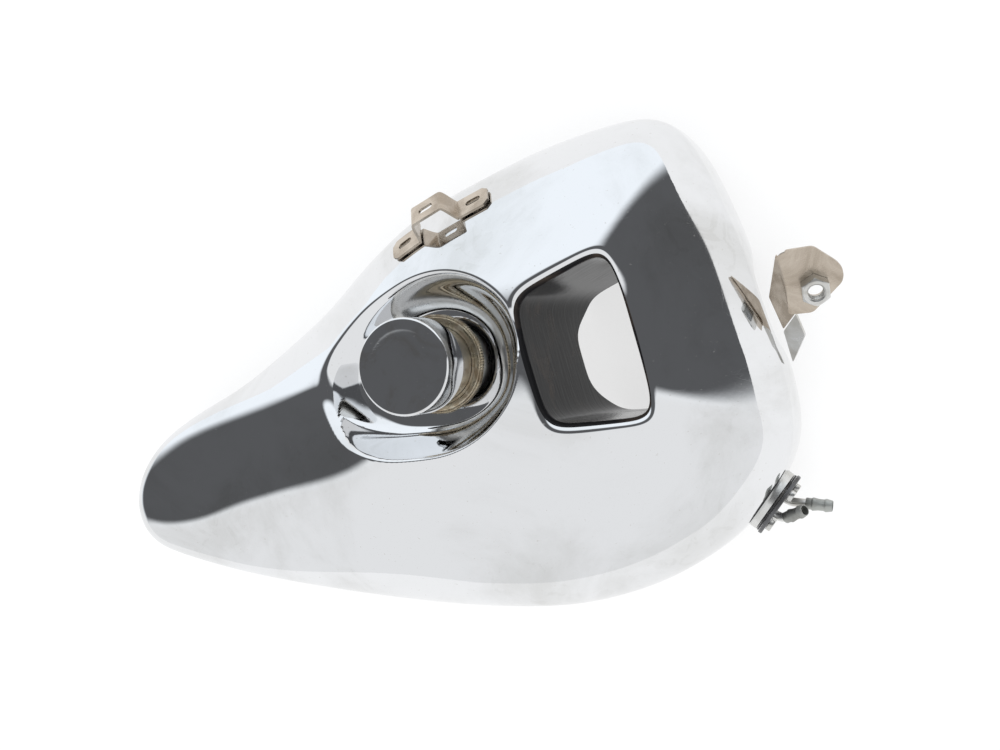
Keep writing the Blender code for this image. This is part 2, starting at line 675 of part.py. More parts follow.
def outlet_parts(shell, mats):
    frame = outlet_frame()
    drill(shell, "outlet_opening", frame, BUNG_RADIUS + GAP, -30.0, 20.0)
    face = 3.5
    disc = [(BUNG_BORE, face - BUNG_DEPTH), (BUNG_RADIUS, face - BUNG_DEPTH), (BUNG_RADIUS, face),
            (BUNG_BORE, face)]
    bung = lathe("outlet_bung", disc, frame, mats["steel"], segments=24)
    washer = [(BUNG_BORE, face + GAP), (BUNG_RADIUS, face + GAP), (BUNG_RADIUS, face + 1.5),
              (BUNG_BORE, face + 1.5)]
    gasket = lathe("outlet_gasket", washer, frame, mats["rubber"], segments=24)
    plate = [(0.5, face + 1.8), (BUNG_RADIUS + 1, face + 1.8), (BUNG_RADIUS + 1, face + 4.6),
             (0.5, face + 4.6)]
    flange = lathe("outlet_flange", plate, frame, mats["dark_metal"], segments=24, solid=True)
    for k in range(4):
        a = math.radians(45 + 90 * k)
        spot = frame @ Matrix.Translation((18.5 * math.cos(a), 18.5 * math.sin(a), 0.0))
        for owner in (bung, gasket, flange):
            drill(owner, "%s_hole_%d" % (owner.name, k), spot, 2.9, -20.0, 20.0, segments=10)
        lathe("outlet_bolt_%d" % (k + 1), [(2.5, face - 5.0), (2.5, face + 4.9), (4.3, face + 4.9),
                                           (4.3, face + 8.4)], spot, mats["steel"], segments=12, solid=True,
              smooth=False)
    out = frame.to_3x3() @ Vector((0, 0, 1))
    for name, spot_xy, forward, lead, radius, tail in (
            ("supply", (5.5, -3.5), (0.93, -0.36, -0.05), 2.0, 12.0, 22.0),
            ("return", (-6.0, 6.5), (0.80, 0.12, 0.45), 2.0, 9.0, 12.0)):
        start = frame @ Vector((spot_xy[0], spot_xy[1], face - 4.0))
        spot = frame @ Matrix.Translation((spot_xy[0], spot_xy[1], 0.0))
        drill(flange, name + "_port", spot, TUBE_R + GAP, -10.0, 20.0, segments=20)
        path = bend_path(start, out, forward, lead + 7.0, radius, tail)
        pipe(name + "_tube", path, TUBE_R, TUBE_BORE, mats["steel"])
        aim = Vector(forward).normalized()
        barb(name + "_barb", axis_frame(path[-1] - aim * 14.0, aim, (0, 0, 1)), mats["barb"])
    inward = -out
    start = frame @ Vector((5.5, -3.5, face - 5.0))
    up_in = Vector((-0.35, 0.25, 0.0)) + inward
    path = bend_path(start, inward, up_in, 8.0, 14.0, 22.0)
    pipe("pickup_pipe", path, TUBE_R, TUBE_BORE, mats["steel"])
    aim = up_in.normalized()
    sleeve = [(TUBE_R + GAP, 0.0), (6.0, 0.0), (6.5, 3.0), (6.5, 26.0), (4.0, 30.0), (TUBE_R + GAP, 30.0)]
    lathe("pickup_strainer", sleeve, axis_frame(path[-1] - aim * 10.0, aim, (1, 0, 0)), mats["brass"],
          segments=18)
    start = frame @ Vector((-6.0, 6.5, face - 5.0))
    path = bend_path(start, inward, inward + Vector((0.1, 0.1, 0.5)), 10.0, 14.0, 30.0)
    pipe("return_pipe", path, TUBE_R, TUBE_BORE, mats["steel"])


# ---- inside the tank ----------------------------------------------------------------------------------
def baffle(name, x, y_low, y_high, mat):
    """Upright sheet across one lobe, clear of the skin all round, with a drain notch and a hole."""
    steps = 10
    top = []
    bottom = []
    for i in range(steps + 1):
        y = y_low + (y_high - y_low) * i / steps
        ys = np.array([y])
        xs = np.array([x])
        top.append((y, float(top_height(xs, ys)[0]) - 9.0))
        bottom.append((y, float(floor_height(xs, ys)[0]) + 8.0))
    outline = bottom + top[::-1]
    rings = [[(x + off, y, z) for y, z in outline] for off in (-0.7, 0.7)]
    verts, faces = skin(rings, wrap=False)
    obj = make_object(name, verts, faces, mat, smooth=False)
    frame = Matrix.Translation((x, 0.5 * (y_low + y_high), 70.0)) @ Matrix.Rotation(math.pi / 2, 4, "Y")
    drill(obj, name + "_hole", frame, 14.0, -8.0, 8.0, segments=24)
    return obj


def inside_parts(mats):
    baffle("left_baffle", 404.0, 74.0, 130.0, mats["raw_steel"])
    baffle("right_baffle", 404.0, -138.0, -58.0, mats["raw_steel"])
    path = [(246.0, -30.0, 128.0), (238.0, -40.0, 122.0), (232.0, -46.0, 100.0), (230.0, -48.0, 60.0),
            (230.0, -48.0, 20.0)]
    pipe("vent_pipe", path, 3.0, 2.0, mats["steel"])


def rear_mount(mats):
    """Small slotted lug under the tail that sits over the frame's cross stud."""
    half = LUG_HALF_WIDTH
    outline = [(-half, 0.0), (half, 0.0), (half, 26.0), (7.0, 31.0), (-7.0, 31.0), (-half, 26.0)]
    middle = float(tunnel_y(LUG_X))
    crown = TUNNEL_RISE - 10.0
    rings = [[(x, y + middle, crown - z) for y, z in outline] for x in (LUG_X, LUG_X + 2.5)]
    verts, faces = skin(rings, wrap=False)
    lug = make_object("rear_lug", verts, faces, mats["steel"], smooth=False)
    frame = Matrix.Translation((LUG_X + 1.25, middle, crown - 18.0)) @ Matrix.Rotation(math.pi / 2, 4, "Y")
    drill(lug, "rear_lug_hole", frame, LUG_HOLE, -6.0, 6.0, segments=24)
    bush = [(3.2, -6.0), (5.7, -6.0), (5.7, 6.0), (3.2, 6.0)]
    lathe("rear_bush", bush, frame, mats["rubber"], segments=24)


# ---- build --------------------------------------------------------------------------------------------
def main():
    clear_scene()
    mats = {
        "chrome": material("chrome", (0.82, 0.83, 0.85), 0.06, 1.0),
        "weld": material("weld_steel", (0.42, 0.36, 0.28), 0.35, 1.0),
        "steel": material("plated_steel", (0.66, 0.66, 0.67), 0.28, 1.0),
        "raw_steel": material("raw_steel", (0.40, 0.41, 0.43), 0.5, 1.0),
        "dark_metal": material("dark_metal", (0.16, 0.16, 0.17), 0.4, 1.0),
        "bracket": material("bracket_nickel", (0.58, 0.55, 0.51), 0.22, 1.0),
        "barb": material("cast_barb", (0.42, 0.43, 0.42), 0.5, 1.0),
        "rubber": material("black_rubber", (0.03, 0.03, 0.03), 0.75, 0.0),
        "brass": material("brass", (0.72, 0.56, 0.28), 0.3, 1.0),
    }
    shell = tank_shell(mats["chrome"])
    drill(shell, "filler_opening", upright(*DISH_CENTRE), FLANGE_RADIUS + GAP, 80.0, 140.0, segments=40)
    hole_sleeve(mats["dark_metal"])
    bottom_pan(mats["chrome"])
    filler_parts(mats)
    cap_parts(mats)
    hat_bracket(mats)
    front_bracket(mats)
    outlet_parts(shell, mats)
    inside_parts(mats)
    rear_mount(mats)


main()
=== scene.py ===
"""Chromed motorcycle fuel tank: fine surfaces, finishes, soft studio light and camera."""
import json
import math

import bmesh
import bpy
import numpy as np
from mathutils import Matrix, Vector

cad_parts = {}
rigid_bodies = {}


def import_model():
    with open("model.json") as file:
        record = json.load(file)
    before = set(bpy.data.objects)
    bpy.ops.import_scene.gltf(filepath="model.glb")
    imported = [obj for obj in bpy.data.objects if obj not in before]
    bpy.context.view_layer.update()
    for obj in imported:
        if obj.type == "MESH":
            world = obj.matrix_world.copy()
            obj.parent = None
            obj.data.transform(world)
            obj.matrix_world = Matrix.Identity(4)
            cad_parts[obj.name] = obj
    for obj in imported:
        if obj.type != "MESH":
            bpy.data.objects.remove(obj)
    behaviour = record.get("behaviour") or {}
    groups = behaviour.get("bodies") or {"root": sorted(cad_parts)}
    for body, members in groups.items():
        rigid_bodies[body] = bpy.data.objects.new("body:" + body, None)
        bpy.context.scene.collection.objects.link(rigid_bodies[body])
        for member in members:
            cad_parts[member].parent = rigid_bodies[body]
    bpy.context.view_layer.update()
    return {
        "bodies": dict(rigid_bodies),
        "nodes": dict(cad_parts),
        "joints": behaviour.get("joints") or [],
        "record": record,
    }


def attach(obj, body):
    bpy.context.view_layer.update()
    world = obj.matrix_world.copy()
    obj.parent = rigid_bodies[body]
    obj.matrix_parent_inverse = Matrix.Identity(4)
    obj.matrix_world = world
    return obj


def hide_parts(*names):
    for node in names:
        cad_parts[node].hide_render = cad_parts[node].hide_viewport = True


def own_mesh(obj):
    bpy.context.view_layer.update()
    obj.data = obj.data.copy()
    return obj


MM = 0.001

# ---- tank design, millimetres; x forward from the tail, y to the rider's left, z up 
# "near" means the rider's right and "far" the rider's left
ORIGIN = Vector((276.93, -9.86, 0.0))
WALL = 1.6
GAP = 0.3
SEAM_Z = 75.0
TUCK = 0.11                             # share by which the sides draw in at the bottom
OUTLINE = [(-28, -10), (-24, -34), (-6, -51), (60, -86), (140, -119), (222, -148), (290, -167), (342, -175),
           (400, -172), (456, -155), (492, -130), (513, -105), (520, -80), (522, -45), (521, -5), (519, 40),
           (514, 84), (509, 112), (501, 135), (485, 150), (450, 155), (398, 155), (345, 149), (312, 144),
           (278, 135), (232, 114), (196, 94), (145, 74), (100, 59), (56, 50), (16, 38), (-14, 17)]
HOLE_CENTRE = (409.0, 2.0)
HOLE_HALF_LENGTH = 37.0
HOLE_HALF_WIDTH_REAR = 45.0
HOLE_HALF_WIDTH_FRONT = 59.0
HOLE_SQUARENESS = 6.0
RIM_RADIUS = 8.0
DOME_POWER = 2.0
FRONT_POWER = 1.5
TAIL_RISE = 50.0
FRONT_RISE = 90.0
VALLEY_LENGTH = 215.0
VALLEY_LINE = (1.0, 13.0, 17.0)         # the valley's y, as a quadratic along its length
VALLEY_FLOOR = (91.0, 27.0, 21.0)       # and its height
VALLEY_END = (235.0, 60.0)              # where it runs out into the dish, and over what length
VALLEY_SLOPE_NEAR = 0.17
VALLEY_SLOPE_FAR = 0.22
CREST_BLEND = 6.0
FOLD_BLEND = 18.0
DISH_STRETCH = 1.15
DISH_STRETCH_TAIL = 1.6
DISH_CENTRE = (285.0, 25.0)
DISH_FLOOR_Z = 112.0
DISH_FLAT = 37.0
DISH_FLAT_NEAR = 45.0
DISH_WALL = 0.055
DISH_WALL_NEAR = 0.10
TUNNEL_RISE = 44.0
TUNNEL_HALF_WIDTH = 34.0
TUNNEL_SWAY = 22.0
TUNNEL_BEND_X = 300.0                   # the arch runs straight ahead of here
NECK_INNER = 25.0
NECK_OUTER = 28.5
NECK_TOP = 150.0
FLANGE_RADIUS = 35.5
CAP_RADIUS = 35.0
CAP_HEIGHT = 27.0
CAP_TOP_Z = 172.0
CAP_PITCH = 5.0
BUNG_RADIUS = 24.0
BUNG_BORE = 13.0
BOLT_CIRCLE = 18.5
TUBE_R = 3.2
TUBE_BORE = 2.2
SHEET = 2.0
HAT_CENTRE = (322.0, 121.0)
HAT_ALONG = (0.98, 0.17)
HAT_WIDTH = 19.0
HAT_CROWN = 17.0
HAT_SLOTS = (-31.0, 0.0, 31.0)           # slot centres along the strap
TAB_BEND = (542.0, 6.5, 83.5)
TAB_NORMAL = (0.141, -0.484, 0.844)
TAB_FORWARD = (0.96, -0.14, -0.24)
TAB_OUTLINE = [(0, -24), (17, -25), (39, -5), (40.5, 0), (40, 6), (37, 11), (22, 25), (2, 25)]
NUT_SPOT = (20.0, -6.0)
NUT_FLATS = 19.0
NUT_HOLE = 5.8
NUT_HEIGHT = 9.0
NUT_PITCH = 1.75
ARM_OUTLINE = [(543, 27, 92), (541, -14, 69.5), (527, -22, 58), (526, 2, 70)]
FOOT_OUTLINE = [(540.5, -15, 68.5), (541, -31, 61), (524.5, -46, 44), (526.5, -23.5, 57)]
OUTLET_ANGLE = math.radians(-62.0)
OUTLET_ROW = 0.76

# ---- camera, in the tank's frame -------------------------
CAMERA_RIGHT = (0.8879, -0.2739, -0.3697)
CAMERA_UP = (0.2789, 0.9594, -0.0409)
CAMERA_BACK = (0.3660, -0.0668, 0.9282)
CAMERA_OFFSET = (0.00226, 0.02305, 1.24207)     # right, up and back from the tank's origin, metres
CAMERA_LENS = 55.44


# ---- plan and height of the tank -------------------------
def smooth_loop(points, steps=24):
    """Closed smooth curve through the outline's stations."""
    pts = np.array(points, float)
    count = len(pts)
    out = []
    for i in range(count):
        p0, p1, p2, p3 = (pts[(i + k) % count] for k in (-1, 0, 1, 2))
        for s in range(steps):
            t = s / steps
            out.append(0.5 * (2 * p1 + (p2 - p0) * t + (2 * p0 - 5 * p1 + 4 * p2 - p3) * t * t
                              + (3 * p1 - p0 - 3 * p2 + p3) * t ** 3))
    return np.array(out)


def even_loop(loop, count):
    """The same loop with its points spread evenly along it."""
    closed = np.vstack([loop, loop[:1]])
    run = np.concatenate([[0.0], np.cumsum(np.linalg.norm(np.diff(closed, axis=0), axis=1))])
    want = np.linspace(0.0, run[-1], count, endpoint=False)
    return np.stack([np.interp(want, run, closed[:, k]) for k in (0, 1)], axis=1)


def soften_loop(loop, passes):
    """Round off the small waves between the outline's stations."""
    out = even_loop(loop, 720)
    for _ in range(passes):
        out = 0.25 * np.roll(out, 1, axis=0) + 0.5 * out + 0.25 * np.roll(out, -1, axis=0)
    return out


CONTOUR = soften_loop(smooth_loop(OUTLINE), 60)
CENTRE = np.array(HOLE_CENTRE)


def outer_radius(angle):
    """Reach of the outline from the hole's centre."""
    rel = CONTOUR - CENTRE
    angles = np.arctan2(rel[:, 1], rel[:, 0])
    order = np.argsort(angles)
    return np.interp(angle, angles[order], np.hypot(rel[:, 0], rel[:, 1])[order], period=2 * math.pi)


def hole_radius(angle):
    """Reach of the hole: a rounded four-sided opening, wider at the front."""
    c = np.cos(angle)
    s = np.sin(angle)
    reach = np.full_like(c, 200.0)
    for _ in range(8):
        share = np.clip(reach * c / HOLE_HALF_LENGTH * 0.5 + 0.5, 0.0, 1.0)
        half_width = HOLE_HALF_WIDTH_REAR + (HOLE_HALF_WIDTH_FRONT - HOLE_HALF_WIDTH_REAR) * share
        reach = (np.abs(c / HOLE_HALF_LENGTH) ** HOLE_SQUARENESS
                 + np.abs(s / half_width) ** HOLE_SQUARENESS) ** (-1 / HOLE_SQUARENESS)
    return reach


def ease(t):
    t = np.clip(t, 0.0, 1.0)
    return t * t * (3 - 2 * t)


def quadratic(terms, t):
    return terms[0] + terms[1] * t + terms[2] * t ** 2


def soft_min(a, b, width):
    """The lower of two heights, with the crease between them rounded over the width."""
    h = np.clip(0.5 + 0.5 * (b - a) / width, 0.0, 1.0)
    return b + (a - b) * h - width * h * (1 - h)


def top_height(x, y):
    """Height of the top skin: a dome, less the valley from the tail, less the dish round the filler."""
    dx = x - CENTRE[0]
    dy = y - CENTRE[1]
    share = np.clip(np.hypot(dx, dy) / outer_radius(np.arctan2(dy, dx)), 0.0, 1.0)
    rise = TAIL_RISE + (FRONT_RISE - TAIL_RISE) * ease((x - 60.0) / 210.0)
    ahead = dx / np.maximum(np.hypot(dx, dy), 1.0)
    power = DOME_POWER + (FRONT_POWER - DOME_POWER) * ease((ahead - 0.15) / 0.8)
    dome = SEAM_Z + rise * (1 - share ** power) ** (1 / power)
    run = np.clip(x / VALLEY_LENGTH, -0.2, 1.25)
    across = y - quadratic(VALLEY_LINE, run)
    slope = np.where(across < 0, VALLEY_SLOPE_NEAR, VALLEY_SLOPE_FAR)
    valley = quadratic(VALLEY_FLOOR, run) + slope * (np.sqrt(across ** 2 + 16.0) - 4.0)
    behind = x - DISH_CENTRE[0] - 6.0
    stretch = DISH_STRETCH + (DISH_STRETCH_TAIL - DISH_STRETCH) * ease(-behind / 50.0)
    far_from = np.hypot(behind / stretch, y - DISH_CENTRE[1])
    near_side = ease((DISH_CENTRE[1] - y) / 45.0)
    flat = DISH_FLAT + (DISH_FLAT_NEAR - DISH_FLAT) * near_side
    wall = DISH_WALL + (DISH_WALL_NEAR - DISH_WALL) * near_side
    dish = DISH_FLOOR_Z + wall * np.clip(far_from - flat, 0.0, None) ** 2
    valley = valley + 200.0 * ease((x - VALLEY_END[0]) / VALLEY_END[1])
    valley_blend = CREST_BLEND + (FOLD_BLEND - CREST_BLEND) * ease((across + 8.0) / 40.0)
    dish_blend = CREST_BLEND + (FOLD_BLEND - CREST_BLEND) * ease((y - DISH_CENTRE[1] + 25.0) / 45.0)
    return soft_min(soft_min(dome, valley, valley_blend), dish, dish_blend)


def tunnel_y(x):
    return -TUNNEL_SWAY * (1.0 - ease(x / TUNNEL_BEND_X))


def floor_height(x, y):
    """Height of the underside, arched over the frame tube."""
    half_width = TUNNEL_HALF_WIDTH * (0.72 + 0.28 * ease(x / TUNNEL_BEND_X))
    return TUNNEL_RISE * np.exp(-(np.abs(y - tunnel_y(x)) / half_width) ** 4)


def ray_angles(count):
    """Ray directions from the hole, evenly spread along a blend of the contour and the circle."""
    rel = even_loop(CONTOUR, count * 8) - CENTRE
    angle = np.unwrap(np.arctan2(rel[:, 1], rel[:, 0]))
    steps = np.arange(count * 8)
    way = np.sign(angle[-1] - angle[0])
    mixed = 0.5 * (angle - angle[0]) / (2 * math.pi) + 0.5 * way * steps / (count * 8)
    want = way * np.arange(count) / count
    order = np.argsort(mixed)
    return np.interp(want, mixed[order], angle[order])


def spread(angle, reach):
    """Plan positions at a reach from the hole's centre along each ray."""
    return CENTRE[0] + reach * np.cos(angle), CENTRE[1] + reach * np.sin(angle)


def shell_grid(angle, roll_steps, top_steps, side_steps):
    """Rows of the outer skin: down from the hole's rolled rim, over the top and down the sides."""
    inner = hole_radius(angle)
    outer = outer_radius(angle)
    rows = []
    for i in range(roll_steps + 1):
        a = 0.5 * math.pi * i / roll_steps
        x, y = spread(angle, inner + RIM_RADIUS * (1 - math.cos(a)))
        rows.append(np.stack([x, y, top_height(x, y) - RIM_RADIUS * (1 - math.sin(a))], axis=1))
    start = inner + RIM_RADIUS
    stretch = ease((outer - start - 110.0) / 200.0)     # long rays keep more rows near the dish
    for i in range(1, top_steps + 1):
        even = 0.45 * i / top_steps + 0.55 * math.sin(0.5 * math.pi * i / top_steps)
        far_end = math.sin(0.5 * math.pi * i / top_steps)
        share = even + (0.6 * (i / top_steps) ** 1.4 + 0.4 * far_end - even) * stretch
        x, y = spread(angle, start + (outer - start) * share)
        rows.append(np.stack([x, y, top_height(x, y)], axis=1))
    for i in range(1, side_steps + 1):
        a = 0.5 * math.pi * i / side_steps
        x, y = spread(angle, outer * (1 - TUCK * (1 - math.cos(a))))
        low = floor_height(x, y)
        rows.append(np.stack([x, y, low + (SEAM_Z - low) * (1 - math.sin(a))], axis=1))
    return np.array(rows)


def grid_normals(grid):
    """Unit normals of a closed grid of rows."""
    around = np.roll(grid, -1, axis=1) - np.roll(grid, 1, axis=1)
    normal = np.cross(np.gradient(grid, axis=0), around)
    return normal / np.linalg.norm(normal, axis=2, keepdims=True)


# ---- mesh builders ---------------------------------------
def skin(rings, wrap):
    """Faces between rings of equal count; wrap joins the last to the first, else both ends are capped."""
    count = len(rings[0])
    verts = [tuple(p) for ring in rings for p in ring]
    faces = []
    for i in range(len(rings) if wrap else len(rings) - 1):
        k = (i + 1) % len(rings)
        for j in range(count):
            n = (j + 1) % count
            faces.append((i * count + j, i * count + n, k * count + n, k * count + j))
    if not wrap:
        faces.append(tuple(range(count)))
        faces.append(tuple(range((len(rings) - 1) * count, len(rings) * count)))
    return verts, faces


def add_object(name, data):
    obj = bpy.data.objects.new(name, data)
    bpy.context.scene.collection.objects.link(obj)
    return obj


def make_object(name, verts, faces, mat, sharp=35.0):
    mesh = bpy.data.meshes.new(name)
    mesh.from_pydata([(Vector(v) - ORIGIN) * MM for v in verts], [], faces)
    body = bmesh.new()
    body.from_mesh(mesh)
    bmesh.ops.remove_doubles(body, verts=body.verts, dist=1e-7)
    bmesh.ops.recalc_face_normals(body, faces=body.faces)
    body.to_mesh(mesh)
    body.free()
    obj = add_object(name, mesh)
    if mat is not None:
        mesh.materials.append(mat)
    mesh.shade_smooth()
    if sharp:
        mesh.set_sharp_from_angle(angle=math.radians(sharp))
    return obj


def skinned(name, rings, mat, wrap=False, sharp=35.0):
    verts, faces = skin(rings, wrap)
    return make_object(name, verts, faces, mat, sharp)


def axis_frame(origin, normal, along=(1.0, 0.0, 0.0)):
    """Frame with z along the normal and x as near as it can be to along."""
    z = Vector(normal).normalized()
    x = Vector(along)
    x = (x - z * x.dot(z)).normalized()
    y = z.cross(x)
    frame = Matrix((x, y, z)).transposed().to_4x4()
    frame.translation = Vector(origin)
    return frame


def place(points, frame):
    return [tuple(frame @ Vector(p)) for p in points]


def circle(radius, z, segments=96):
    turns = [2 * math.pi * j / segments for j in range(segments)]
    return [(radius * math.cos(a), radius * math.sin(a), z) for a in turns]


def lathe(name, profile, frame, mat, segments=96, solid=False, sharp=35.0):
    rings = [place(circle(radius, height, segments), frame) for radius, height in profile]
    return skinned(name, rings, mat, wrap=not solid, sharp=sharp)


def cut(target, cutters):
    """Subtract closed cutters and keep the result as the object's own mesh."""
    for cutter in cutters:
        modifier = target.modifiers.new("cut", "BOOLEAN")
        modifier.operation = "DIFFERENCE"
        modifier.solver = "EXACT"
        modifier.object = cutter
    bpy.context.view_layer.update()
    solid = target.evaluated_get(bpy.context.evaluated_depsgraph_get())
    mesh = bpy.data.meshes.new_from_object(solid)
    target.modifiers.clear()
    old = target.data
    target.data = mesh
    bpy.data.meshes.remove(old)
    for cutter in cutters:
        bpy.data.objects.remove(cutter, do_unlink=True)
    mesh.set_sharp_from_angle(angle=math.radians(35.0))
    return target


def drill(frame, radius, low, high, segments=64):
    return skinned("cutter", [place(circle(radius, z, segments), frame) for z in (low, high)], None)


def bevel(obj, width):
    modifier = obj.modifiers.new("soft_edges", "BEVEL")
    modifier.width = width * MM
    modifier.segments = 3
    modifier.limit_method = "ANGLE"
    modifier.angle_limit = math.radians(40.0)
    modifier.harden_normals = True


def tube_rings(path, radius, segments=28):
    """Circles square to a path, turned as little as possible from one to the next."""
    pts = [Vector(p) for p in path]
    side = None
    rings = []
    turns = [2 * math.pi * j / segments for j in range(segments)]
    for i, point in enumerate(pts):
        ahead = pts[min(i + 1, len(pts) - 1)] - pts[max(i - 1, 0)]
        ahead.normalize()
        if side is None:
            side = ahead.orthogonal().normalized()
        side = (side - ahead * side.dot(ahead)).normalized()
        other = ahead.cross(side)
        rings.append([tuple(point + side * (radius * math.cos(a)) + other * (radius * math.sin(a)))
                      for a in turns])
    return rings


def pipe(name, path, outer, inner, mat):
    return skinned(name, tube_rings(path, outer) + tube_rings(path, inner)[::-1], mat, wrap=True)


def bend_path(start, first, second, lead, radius, tail, steps=16):
    """Straight lead, one bend of the radius from the first direction to the second, and a straight tail."""
    first = Vector(first).normalized()
    second = Vector(second).normalized()
    angle = first.angle(second)
    setback = radius * math.tan(angle / 2)
    corner = Vector(start) + first * (lead + setback)
    begin = corner - first * setback
    side = (second - first * second.dot(first)).normalized()
    middle = begin + side * radius
    points = [Vector(start), begin]
    for i in range(1, steps + 1):
        a = angle * i / steps
        points.append(middle - side * (radius * math.cos(a)) + first * (radius * math.sin(a)))
    points.append(points[-1] + second * tail)
    return points


def slot_outline(half_length, radius, steps=14):
    points = []
    for end, start in ((1, -90.0), (-1, 90.0)):
        for i in range(steps + 1):
            a = math.radians(start + 180.0 * i / steps)
            points.append((end * half_length + radius * math.cos(a), radius * math.sin(a)))
    return points


def prism(outline, low, high):
    return skin([[(x, y, low) for x, y in outline], [(x, y, high) for x, y in outline]], wrap=False)


def finish_piece(obj, body, node):
    """Put the piece on its body in place of its CAD node."""
    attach(obj, body)
    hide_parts(node)
    return obj


# ---- finishes --------------------------------------------
class Nodes:
    """Short hand for building a node tree."""

    def __init__(self, tree):
        self.tree = tree

    def add(self, kind, **values):
        node = self.tree.nodes.new(kind)
        for key, value in values.items():
            setattr(node, key, value)
        return node

    def feed(self, value, socket):
        """Link a socket, or set a number or a colour."""
        if isinstance(value, tuple):
            socket.default_value = (*value, 1.0)
        elif isinstance(value, (int, float)):
            socket.default_value = value
        else:
            self.tree.links.new(value, socket)

    def remap(self, value, low, high, to_low=0.0, to_high=1.0):
        node = self.add("ShaderNodeMapRange", interpolation_type="SMOOTHSTEP")
        for key, number in (("Value", value), ("From Min", low), ("From Max", high), ("To Min", to_low),
                            ("To Max", to_high)):
            self.feed(number, node.inputs[key])
        return node.outputs["Result"]

    def maths(self, kind, *values):
        node = self.add("ShaderNodeMath", operation=kind)
        for k, value in enumerate(values):
            self.feed(value, node.inputs[k])
        return node.outputs["Value"]

    def blend(self, share, a, b):
        node = self.add("ShaderNodeMix", data_type="RGBA")
        for key, value in (("Factor", share), (6, a), (7, b)):
            self.feed(value, node.inputs[key])
        return node.outputs[2]


class Finish(Nodes):
    """A new material, with its pattern fixed to the piece."""

    def __init__(self, name, metallic):
        self.mat = bpy.data.materials.new(name)
        self.mat.use_nodes = True
        super().__init__(self.mat.node_tree)
        self.shader = self.tree.nodes["Principled BSDF"]
        self.shader.inputs["Metallic"].default_value = metallic
        self.spot = self.add("ShaderNodeTexCoord").outputs["Object"]

    def stretched(self, scale, turn=(0.0, 0.0, 0.0)):
        node = self.add("ShaderNodeMapping")
        node.inputs["Scale"].default_value = scale
        node.inputs["Rotation"].default_value = turn
        self.feed(self.spot, node.inputs["Vector"])
        return node.outputs["Vector"]

    def noise(self, scale, detail=3.0, distortion=0.0, vector=None, rough=0.5):
        node = self.add("ShaderNodeTexNoise")
        for key, value in (("Scale", scale), ("Detail", detail), ("Roughness", rough),
                           ("Distortion", distortion), ("Vector", vector or self.spot)):
            self.feed(value, node.inputs[key])
        return node.outputs["Fac"]

    def bump(self, height, distance, strength=1.0, normal=None):
        node = self.add("ShaderNodeBump")
        for key, value in (("Strength", strength), ("Distance", distance), ("Height", height)):
            self.feed(value, node.inputs[key])
        if normal is not None:
            self.feed(normal, node.inputs["Normal"])
        return node.outputs["Normal"]

    def hairlines(self, scale, width, turn, warp=0.4):
        """Thin long lines, 1 on a line and 0 elsewhere."""
        wave = self.noise(scale, 1.0, warp, self.stretched((1.0, 9.0, 9.0), turn))
        away = self.maths("ABSOLUTE", self.maths("SUBTRACT", wave, 0.5))
        return self.remap(away, 0.0, width, 1.0, 0.0)

    def output(self, colour, rough, normal):
        for key, value in (("Base Color", colour), ("Roughness", rough), ("Normal", normal)):
            self.feed(value, self.shader.inputs[key])
        return self.mat


def chrome_finish(name, stain=0.0):
    """Bright plating: faint haze, hairline scratches, water spots and a slow waviness."""
    t = Finish(name, 1.0)
    cloud = t.remap(t.noise(9.0, 6.0, 0.5, rough=0.6), 0.42, 0.72, 0.0, 0.7)
    blots = t.remap(t.noise(38.0, 5.0, 1.6, rough=0.6), 0.54, 0.62, 0.0, 0.35)
    haze = t.maths("ADD", cloud, t.maths("MULTIPLY", blots, cloud))
    specks = t.remap(t.noise(420.0, 2.0), 0.69, 0.76, 0.0, 1.0)
    lines = t.hairlines(5.0, 0.0035, (0.3, 0.1, 0.6))
    more = t.hairlines(8.0, 0.0025, (0.1, 0.5, 2.3), warp=0.8)
    marks = t.maths("MAXIMUM", lines, more)
    broken = t.maths("MULTIPLY", marks, t.remap(t.noise(30.0, 3.0), 0.50, 0.66, 0.0, 1.0))
    colour = t.blend(haze, (0.775, 0.78, 0.79), (0.60, 0.60, 0.59))
    if stain:
        patches = t.remap(t.noise(24.0, 5.0, 1.2, rough=0.65), 0.50, 0.74, 0.0, stain)
        colour = t.blend(patches, colour, (0.46, 0.38, 0.27))
    colour = t.blend(t.maths("MULTIPLY", specks, 0.35), colour, (0.55, 0.52, 0.47))
    rough = t.maths("ADD", t.maths("MULTIPLY", haze, 0.05), 0.028)
    rough = t.maths("ADD", rough, t.maths("MULTIPLY", broken, 0.025))
    rough = t.maths("ADD", rough, t.maths("MULTIPLY", specks, 0.18))
    wavy = t.bump(t.noise(14.0, 1.0), 0.0008, 0.35)
    fine = t.bump(t.noise(140.0, 3.0), 0.00004, 0.3, wavy)
    return t.output(colour, rough, t.bump(broken, 0.000004, 0.6, fine))


